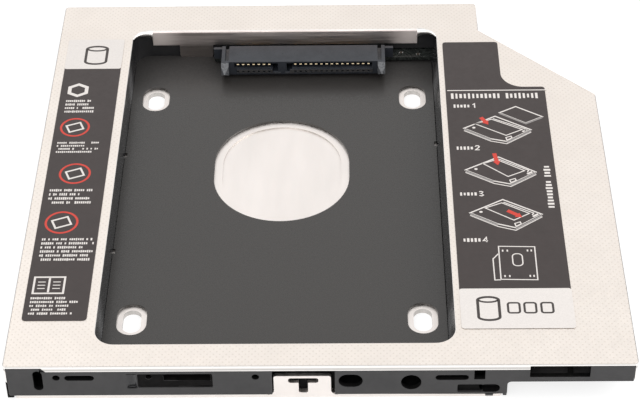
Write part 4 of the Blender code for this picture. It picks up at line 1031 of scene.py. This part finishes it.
def crossCutter():
    half, width = screwShape["crossSpan"] / 2, screwShape["crossWidth"] / 2
    outline = [(half, -width), (half, width), (width, width), (width, half), (-width, half),
               (-width, width), (-half, width), (-half, -width), (-width, -width),
               (-width, -half), (width, -half), (width, -width)]
    shape = bmesh.new()
    addPrism(shape, *([(x * mm * size, y * mm * size, z * mm) for x, y in outline]
                      for size, z in ((screwShape["crossTaper"], -screwShape["crossDepth"]),
                                      (1, 0.3))))
    return toMesh(shape, "cross", outward=True)


def screwTree():
    tree, given = newTree("screws in their holes", [
        ("Holes", "Geometry", None), ("Screw", "Object", None), ("Seed", "Int", 3),
        ("Metal", "Material", None)])
    info = addNode(tree, "GeometryNodeObjectInfo", {"Object": given["Screw"]})
    turn = addNode(tree, "FunctionNodeRandomValue",
                   {"Min": (0, 0, 0), "Max": (0, 0, 2 * pi), "Seed": given["Seed"]},
                   data_type="FLOAT_VECTOR")
    placed = addNode(tree, "GeometryNodeInstanceOnPoints",
                     {"Points": given["Holes"], "Instance": info.outputs["Geometry"],
                      "Rotation": turn.outputs["Value"]})
    return closeTree(tree, placed.outputs[0], given["Metal"])


def driveScrews():
    tree = screwTree()
    for kind, head in screwHeads.items():
        mesh = combined(turned(screwProfile(head), screwShape["around"]), "DIFFERENCE",
                        crossCutter())
        if head["down"]:
            mesh.transform(Matrix.Rotation(pi, 4, "X"))
        for face in mesh.polygons:
            face.use_smooth = False
        master = newObject("screw", mesh)
        holes = []
        for node in head["nodes"]:
            low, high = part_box(node)
            holes.append(((low.x + high.x) / 2, (low.y + high.y) / 2,
                          low.z if head["down"] else high.z))
        made = grown(tree, {"Screw": master, "Metal": finishes["zinc-plated screw steel"]}, holes)
        bpy.data.objects.remove(master)
        finishedPiece(kind + "_screws", made, head["nodes"])


driveScrews()
print("screws driven")


# contacts keep their CAD shape and get their plating

for name, node in nodes.items():
    if "_contact_" in name:
        node.data.materials.clear()
        node.data.materials.append(finishes["gold-plated contact"])


# solder on the board's pads, and two chips beside the connector

solderRows = {
    "drive": {"nodes": "drive_%s_contact_%d", "groups": (("signal", 7), ("power", 15)),
              "radius": 0.34, "height": 0.22},
    "host": {"nodes": "host_%s_contact_%d", "groups": (("signal", 7), ("power", 6)),
             "radius": 0.26, "height": 0.18},
}
chips = {"places": ((83.3, 114.3), (87.5, 113.6)), "length": 1.0, "width": 0.5, "height": 0.35,
         "cap": 0.20, "boardTop": 3.25, "sunk": 0.02, "inset": 0.03, "edge": 0.06}


def solderTree():
    tree, given = newTree("solder dots", [
        ("Pads", "Geometry", None), ("Radius", "Float", 0.0003), ("Height", "Float", 0.0002),
        ("Metal", "Material", None)])
    drop = addNode(tree, "GeometryNodeMeshIcoSphere", {"Radius": 1.0, "Subdivisions": 2})
    smooth = addNode(tree, "GeometryNodeSetShadeSmooth", {0: drop.outputs["Mesh"]})
    size = addNode(tree, "ShaderNodeCombineXYZ",
                   {"X": given["Radius"], "Y": given["Radius"], "Z": given["Height"]})
    placed = addNode(tree, "GeometryNodeInstanceOnPoints",
                     {"Points": given["Pads"], "Instance": smooth.outputs[0],
                      "Scale": size.outputs[0]})
    return closeTree(tree, placed.outputs[0], given["Metal"])


def solderContacts():
    tree = solderTree()
    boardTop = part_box("circuit_board")[1].z
    for side, row in solderRows.items():
        radius = row["radius"] * mm
        pads = []
        for group, count in row["groups"]:
            for i in range(1, count + 1):
                low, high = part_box(row["nodes"] % (group, i))
                y = high.y - radius if side == "drive" else low.y + radius
                pads.append(((low.x + high.x) / 2, y, boardTop))
        made = grown(tree, {"Radius": radius, "Height": row["height"] * mm,
                            "Metal": finishes["bright solder"]}, pads)
        finishedPiece(side + "_solder", made)


def mountChips():
    shape = bmesh.new()
    low, cap, inset = chips["boardTop"], chips["cap"], chips["inset"]
    top = low + chips["height"]
    for x, y in chips["places"]:
        left, right = x - chips["length"] / 2, x + chips["length"] / 2
        front, rear = y - chips["width"] / 2, y + chips["width"] / 2
        block(shape, left + cap * 0.6, right - cap * 0.6, front + inset, rear - inset, low,
              top - inset)
        for x0, x1 in ((left, left + cap), (right - cap, right)):
            for face in block(shape, x0, x1, front, rear, low - chips["sunk"], top):
                face.material_index = 1
    mesh = toMesh(shape, "chips")
    mesh.materials.append(finishes["chip ceramic"])
    mesh.materials.append(finishes["bright solder"])
    finishedPiece("board_chips", withModifiers(mesh, bevel(chips["edge"])))


solderContacts()
mountChips()
print("board populated")


# labels: strokes and patches that stand a little above the film

labelPrint = {"sunk": 9.60, "top": 9.632, "line": 0.34, "sharpest": 0.45, "digitLine": 0.19,
              "barb": 0.62, "drumRise": 0.42, "lidLine": 0.8, "edge": 0.02,
              "over": {"sunk": 9.62, "top": 9.642}}
inkNames = list(inks)
white, grey, red, dark = range(4)
digitPaths = {
    1: [(0.12, 0.74), (0.42, 1.0), (0.42, 0.0)],
    2: [(0.02, 0.76), (0.14, 0.95), (0.42, 0.98), (0.58, 0.80), (0.50, 0.55), (0.02, 0.02),
        (0.62, 0.02)],
    3: [(0.02, 0.90), (0.28, 1.0), (0.54, 0.82), (0.44, 0.58), (0.22, 0.52), (0.50, 0.44),
        (0.60, 0.20), (0.32, 0.0), (0.02, 0.10)],
    4: [(0.48, 0.0), (0.48, 1.0), (0.02, 0.30), (0.66, 0.30)],
}


def closedBand(shape, outer, inner, ink):
    z0, z1 = labelPrint["sunk"], labelPrint["top"]
    rings = [[shape.verts.new(at(x, y, z)) for x, y in outline]
             for outline, z in ((outer, z0), (outer, z1), (inner, z1), (inner, z0))]
    for face in joinRings(shape, rings + rings[:1]):
        face.material_index = ink


def patch(shape, outline, ink):
    for face in addPrism(shape, *([at(x, y, labelPrint[level]) for x, y in outline]
                                  for level in ("sunk", "top"))):
        face.material_index = ink


def offsetPath(path, reach, closed):
    points = [Vector(point) for point in path]
    moved = []
    for i, point in enumerate(points):
        runs = []
        if closed or i:
            runs.append((point - points[i - 1]).normalized())
        if closed or i < len(points) - 1:
            runs.append((points[(i + 1) % len(points)] - point).normalized())
        sides = [Vector((-run.y, run.x)) for run in runs]
        middle = sum(sides, Vector((0, 0))).normalized()
        stretch = 1 / max(labelPrint["sharpest"], middle.dot(sides[0]))
        moved.append(tuple(point + middle * reach * stretch))
    return moved


def signedArea(path):
    return sum(a[0] * b[1] - b[0] * a[1] for a, b in zip(path, path[1:] + path[:1])) / 2


def stroke(shape, path, ink, width=None, closed=False):
    half = (width or labelPrint["line"]) / 2
    left, right = offsetPath(path, half, closed), offsetPath(path, -half, closed)
    if not closed:
        patch(shape, right + left[::-1], ink)
    elif signedArea(path) > 0:
        closedBand(shape, right, left, ink)
    else:
        closedBand(shape, left[::-1], right[::-1], ink)


def oval(x, y, rx, ry, start=0.0, sweep=360.0, steps=28):
    count = steps if sweep >= 360 else steps + 1
    return [(x + rx * cos(radians(start + sweep * i / steps)),
             y + ry * sin(radians(start + sweep * i / steps))) for i in range(count)]


def roundedBox(x0, x1, y0, y1, radius, steps=5):
    middles = cornersOf(x0 + radius, x1 - radius, y0 + radius, y1 - radius)
    outline = []
    for start, (x, y) in zip((-90, 0, 90, 180), middles[1:] + middles[:1]):
        outline += oval(x, y, radius, radius, start, 90, steps)
    return outline


def drumSign(shape, x0, x1, y0, y1, width):
    # the usual drum outline of a disk: a body with round ends and an oval lid
    x, rx = (x0 + x1) / 2, (x1 - x0) / 2
    ry = rx * labelPrint["drumRise"]
    outline = oval(x, y1 - ry, rx, ry, 0, 180, 18) + oval(x, y0 + ry, rx, ry, 180, 180, 18)
    stroke(shape, outline, dark, width, True)
    stroke(shape, oval(x, y1 - ry, rx - width / 2, ry - width / 2, 180, 180, 18), dark,
           width * labelPrint["lidLine"])


def digit(shape, number, x, y, height):
    path = [(x + u * height, y + v * height) for u, v in digitPaths[number]]
    stroke(shape, path, white, height * labelPrint["digitLine"])


def arrow(shape, start, end, shaft, head):
    a, b = Vector(start), Vector(end)
    run = (b - a).normalized()
    side = Vector((-run.y, run.x))
    neck, half, wide = b - run * head, side * shaft / 2, side * head * labelPrint["barb"]
    outline = [a - half, neck - half, neck - wide, b, neck + wide, neck + half, a + half]
    patch(shape, [tuple(point) for point in outline], red)


# rows of small marks, in groups of uneven length

rowStyles = {
    "small": {"pitch": 0.46, "tall": 0.62, "wide": 0.82, "gaps": 0.17, "turn": 0.0},
    "title": {"pitch": 0.98, "tall": 0.84, "wide": 0.62, "gaps": 0.0, "turn": 0.0},
    "word": {"pitch": 0.80, "tall": 0.80, "wide": 0.66, "gaps": 0.0, "turn": 0.0},
    "upright": {"pitch": 1.06, "tall": 0.80, "wide": 0.66, "gaps": 0.10, "turn": pi / 2},
}


def rowsTree():
    tree, given = newTree("rows of small marks", [
        ("Columns", "Int", 20), ("Rows", "Int", 3), ("Pitch", "Float", 0.0005),
        ("Line Pitch", "Float", 0.001), ("Mark Width", "Float", 0.0004),
        ("Mark Height", "Float", 0.0006), ("Depth", "Float", 0.00003), ("Gaps", "Float", 0.16),
        ("Shortest Row", "Float", 0.6), ("Seed", "Int", 1), ("Place", "Vector", None),
        ("Turn", "Float", 0.0), ("Ink", "Material", None)])

    def maths(operation, *values):
        return calculate(tree, operation, *values)

    def combine(x=0.0, y=0.0, z=0.0):
        return addNode(tree, "ShaderNodeCombineXYZ", {"X": x, "Y": y, "Z": z}).outputs[0]

    def draw(kind, seed, low, high, **more):
        values = {low[0]: low[1], high[0]: high[1], "Seed": seed, **more}
        return addNode(tree, "FunctionNodeRandomValue", values, data_type=kind)

    line = addNode(tree, "GeometryNodeMeshLine",
                   {"Count": maths("MULTIPLY", given["Columns"], given["Rows"])})
    index = addNode(tree, "GeometryNodeInputIndex").outputs[0]
    column = maths("FLOORED_MODULO", index, given["Columns"])
    row = maths("FLOOR", maths("DIVIDE", maths("ADD", index, 0.5), given["Columns"]))
    spot = combine(maths("MULTIPLY", maths("ADD", column, 0.5), given["Pitch"]),
                   maths("MULTIPLY", maths("ADD", row, 0.5),
                         maths("MULTIPLY", given["Line Pitch"], -1.0)))
    spread = addNode(tree, "GeometryNodeSetPosition",
                     {"Geometry": line.outputs[0], "Position": spot})
    reach = draw("FLOAT", given["Seed"], (2, given["Shortest Row"]), (3, 1.0), ID=row)
    beyond = maths("GREATER_THAN", maths("DIVIDE", column, given["Columns"]), reach.outputs[1])
    gap = draw("FLOAT", maths("ADD", given["Seed"], 7), (2, 0.0), (3, 1.0))
    blank = maths("LESS_THAN", gap.outputs[1], given["Gaps"])
    thinned = addNode(tree, "GeometryNodeDeleteGeometry",
                      {"Geometry": spread.outputs[0], "Selection": maths("MAXIMUM", beyond, blank)})
    size = combine(given["Mark Width"], given["Mark Height"], given["Depth"])
    mark = addNode(tree, "GeometryNodeMeshCube", {"Size": size})
    uneven = draw("FLOAT_VECTOR", maths("ADD", given["Seed"], 13), ("Min", (0.75, 0.68, 1)),
                  ("Max", (1, 1, 1)))
    placed = addNode(tree, "GeometryNodeInstanceOnPoints",
                     {"Points": thinned.outputs[0], "Instance": mark.outputs["Mesh"],
                      "Scale": uneven.outputs[0]})
    laid = addNode(tree, "GeometryNodeTransform",
                   {"Geometry": placed.outputs[0], "Translation": given["Place"],
                    "Rotation": combine(z=given["Turn"])})
    return closeTree(tree, laid.outputs[0], given["Ink"])


markRows = rowsTree()


def addRows(shape, box, rows, seed, style, shortest=1.0):
    # the first row lies at the top of the box (x0, x1, y0, y1); upright rows run up from its foot
    x0, x1, y0, y1 = box
    look = rowStyles[style]
    length, height, start = x1 - x0, y1 - y0, at(x0, y1, 0)
    if look["turn"]:
        length, height, start = y1 - y0, x1 - x0, at(x0, y0, 0)
    start.z = (labelPrint["sunk"] + labelPrint["top"]) / 2 * mm
    made = grown(markRows, {
        "Columns": max(1, round(length / look["pitch"])), "Rows": rows,
        "Pitch": look["pitch"] * mm, "Line Pitch": height / rows * mm,
        "Mark Width": look["pitch"] * look["wide"] * mm,
        "Mark Height": height / rows * look["tall"] * mm,
        "Depth": (labelPrint["top"] - labelPrint["sunk"]) * mm, "Gaps": look["gaps"],
        "Shortest Row": shortest, "Seed": seed, "Place": start, "Turn": look["turn"],
        "Ink": finishes[inkNames[white]]})
    before = len(shape.faces)
    shape.from_mesh(made)
    shape.faces.ensure_lookup_table()
    for face in shape.faces[before:]:
        face.material_index = white
    bpy.data.meshes.remove(made)


def printPiece(name, shape):
    mesh = toMesh(shape, name, outward=True)
    for ink in inkNames:
        mesh.materials.append(finishes[ink])
    return finishedPiece(name, mesh)


leftPrint = {
    "whiteZone": (2.24, 15.86, 100.2, 112.06), "zoneCorner": 0.62, "seed": 11,
    "rows": [(3.9, 10.9, 82.9, 88.3, 4, 0.70), (3.5, 14.3, 68.1, 72.5, 4, 0.55),
             (3.6, 14.4, 50.2, 55.8, 4, 0.60), (3.7, 15.2, 31.5, 39.3, 6, 0.62),
             (3.4, 14.3, 14.9, 20.7, 5, 0.60)],
    "rings": [(7.05, 77.65, 3.45), (8.7, 60.9, 3.6), (7.45, 44.2, 3.7)], "ringWidth": 0.50,
    "plate": (0.48, 0.36), "tilt": 22, "mark": 0.44,
    "hexagon": (6.4, 91.8, 2.3), "hexagonRise": 0.96, "hexagonLine": 0.85,
    "fields": (3.7, 10.1, 21.6, 26.6), "split": 0.3, "levels": (0.3, 0.5, 0.7),
    "dash": (0.8, 2.4), "dashLine": 0.24,
    "drum": (7.0, 12.0, 102.1, 109.2), "drumLine": 0.64,
}


def printLeftLabel():
    shape, given = bmesh.new(), leftPrint
    patch(shape, roundedBox(*given["whiteZone"], given["zoneCorner"]), white)
    for seed, (*box, rows, shortest) in enumerate(given["rows"], given["seed"]):
        addRows(shape, box, rows, seed, "small", shortest)
    slant = radians(given["tilt"])
    wide, tall = given["plate"]
    for x, y, radius in given["rings"]:
        reach = radius - given["ringWidth"] / 2
        stroke(shape, oval(x, y, reach, reach, steps=40), red, given["ringWidth"], True)
        stroke(shape, [(x + radius * (u * cos(slant) - v * sin(slant)),
                        y + radius * (u * sin(slant) + v * cos(slant)))
                       for u, v in cornersOf(-wide, wide, -tall, tall)], white, given["mark"], True)
    x, y, reach = given["hexagon"]
    stroke(shape, oval(x, y, reach, reach * given["hexagonRise"], 30, steps=6), white,
           given["hexagonLine"], True)
    x0, x1, y0, y1 = given["fields"]
    stroke(shape, cornersOf(x0, x1, y0, y1), white, given["mark"], True)
    middle = (x0 + x1) / 2
    stroke(shape, [(middle, y0 + given["split"]), (middle, y1 - given["split"])], white,
           given["mark"])
    for side in (-1, 1):
        for level in given["levels"]:
            stroke(shape, [(middle + side * reach, y0 + (y1 - y0) * level)
                           for reach in given["dash"]], white, given["dashLine"])
    return shape


def printLeftDrum():
    shape = bmesh.new()
    drumSign(shape, *leftPrint["drum"], leftPrint["drumLine"])
    return shape


rightPrint = {
    "line": (93.5, 116.7, 90.35, 90.65), "titles": ((94.1, 105.9), (106.9, 115.1)),
    "titleHeights": (87.1, 89.6), "titleSeed": 41,
    "numbers": ((1, 83.75, 85.3), (2, 68.2, 69.75), (3, 52.1, 53.65), (4, 36.8, 38.35)),
    "word": (94.55, 98.5), "wordSeed": 50, "numberLeft": 98.95, "numberRise": 0.1,
    "thin": 0.26, "outline": 0.34,
    "drive": [(105.2, 81.9), (109.1, 84.2), (115.0, 80.3), (111.0, 78.0)], "driveBand": 0.5,
    "drawings": [
        {"caddy": [(96.7, 76.2), (104.1, 80.6), (112.0, 75.5), (106.2, 71.3), (102.6, 72.3)],
         "bay": [(99.4, 77.8), (103.2, 79.5), (110.0, 75.6), (106.2, 73.5)],
         "dot": (99.0, 76.4), "arrow": ((100.8, 80.2), (102.4, 77.5))},
        {"caddy": [(96.3, 61.2), (104.0, 65.7), (112.0, 60.3), (106.1, 56.2), (102.4, 57.3)],
         "bay": [(100.4, 63.4), (103.5, 64.8), (109.5, 60.8), (105.7, 58.8)],
         "dot": (98.7, 61.5), "arrow": ((103.1, 67.0), (103.7, 62.8))},
        {"caddy": [(96.6, 46.5), (104.0, 50.9), (112.2, 45.9), (106.2, 41.5), (102.4, 42.8)],
         "bay": [(100.0, 48.1), (103.7, 49.8), (109.5, 46.2), (106.0, 44.0)],
         "dot": (99.0, 46.8), "arrow": ((104.8, 47.2), (107.9, 44.9))},
    ],
    "band": 0.75, "foot": 0.1, "dotSize": (0.38, 0.32), "shaft": 0.95, "head": 1.40,
    "rim": ((0.38, 0.22), (0.95, 0.11), (0.57, -0.55)),
    "plugBox": [(0.1, 0.5), (1.3, 1.25), (1.1, 1.9), (-0.1, 1.4)],
    "plugBar": (0.72, 0.92), "barShift": (-0.35, 0.45), "barLine": 0.5,
    "plan": [(102.0, 25.1), (109.7, 24.9), (109.8, 35.3), (102.1, 35.5)],
    "planWing": [(102.0, 33.2), (100.7, 31.5), (100.7, 24.9), (102.0, 24.95)],
    "planRing": (104.85, 106.95, 29.3, 33.1), "ringCorner": 0.9,
    "planMarks": (102.9, 103.9, 108.2, 109.0), "planRows": (34.1, 26.1),
    "planMark": (-0.16, 0.16, -0.30, 0.30),
    "sideText": (113.5, 115.5, 47.8, 62.6), "sideSeed": 61,
    "whiteZone": (93.04, 116.46, 10.34, 22.3), "zoneCorner": 0.62,
    "drum": (96.7, 101.1, 12.8, 19.7), "drumLine": 0.60,
    "boxes": ((102.9, 105.3), (106.3, 108.7), (109.8, 112.2)), "boxHeights": (14.9, 17.9),
    "boxCorner": 0.5, "boxLine": 0.46,
}


def lowered(points, drop):
    return [(x, y - drop) for x, y in points]


def drawCaddy(shape, drawing):
    # one caddy seen from above and in front: its outline, its bay and grey bands for thickness
    given = rightPrint
    left, _, right, corner, cut = drawing["caddy"]
    for edge in ((left, cut), (corner, right)):
        patch(shape, lowered(edge, given["band"]) + list(edge[::-1]), grey)
    stroke(shape, drawing["caddy"], white, given["outline"], True)
    stroke(shape, drawing["bay"], white, given["thin"], True)
    stroke(shape, lowered((left, cut, corner, right), given["band"] + given["foot"]), white,
           given["thin"])
    patch(shape, oval(*drawing["dot"], *given["dotSize"], steps=12), white)
    far, near = drawing["bay"][1:3]
    stroke(shape, [(start[0] + x, start[1] + y)
                   for start, (x, y) in zip((far, near, near), given["rim"])], white,
           given["thin"])
    stroke(shape, [(corner[0] + x, corner[1] + y) for x, y in given["plugBox"]], white,
           given["thin"], True)
    x, y = given["barShift"]
    stroke(shape, [(corner[0] + (right[0] - corner[0]) * part + x,
                    corner[1] + (right[1] - corner[1]) * part + y)
                   for part in given["plugBar"]], white, given["barLine"])


def printRightLabel():
    shape, given = bmesh.new(), rightPrint
    patch(shape, cornersOf(*given["line"]), white)
    for seed, sides in enumerate(given["titles"], given["titleSeed"]):
        addRows(shape, (*sides, *given["titleHeights"]), 1, seed, "title")
    for number, low, top in given["numbers"]:
        addRows(shape, (*given["word"], low, top), 1, given["wordSeed"] + number, "word")
        digit(shape, number, given["numberLeft"], low + given["numberRise"], top - low)
    left, _, right, near = given["drive"]
    stroke(shape, given["drive"], white, given["outline"], True)
    for edge in ((left, near), (near, right)):
        patch(shape, lowered(edge, given["driveBand"]) + list(edge[::-1]), grey)
    for drawing in given["drawings"]:
        drawCaddy(shape, drawing)
    stroke(shape, given["plan"], white, given["thin"], True)
    stroke(shape, given["planWing"], white, given["thin"])
    stroke(shape, roundedBox(*given["planRing"], given["ringCorner"]), white, given["thin"], True)
    x0, x1, y0, y1 = given["planMark"]
    for x in given["planMarks"]:
        for y in given["planRows"]:
            patch(shape, cornersOf(x + x0, x + x1, y + y0, y + y1), white)
    addRows(shape, given["sideText"], 1, given["sideSeed"], "upright")
    patch(shape, roundedBox(*given["whiteZone"], given["zoneCorner"]), white)
    return shape


def printOver():
    # red arrows and dark signs that lie over the first print
    shape, given = bmesh.new(), rightPrint
    for drawing in given["drawings"]:
        arrow(shape, *drawing["arrow"], given["shaft"], given["head"])
    drumSign(shape, *given["drum"], given["drumLine"])
    for sides in given["boxes"]:
        stroke(shape, roundedBox(*sides, *given["boxHeights"], given["boxCorner"]), dark,
               given["boxLine"], True)
    return shape


printPiece("left_label_print", printLeftLabel())
printPiece("right_label_print", printRightLabel())
labelPrint.update(labelPrint["over"])  # what follows lies over the first print
printPiece("left_label_drum", printLeftDrum())
printPiece("right_label_signs", printOver())
for node in ("left_label", "right_label"):
    film = dress(brokenEdges(node, labelPrint["edge"]), ["black label film"])
    finishedPiece(node + "_film", film, [node])
print("labels printed")
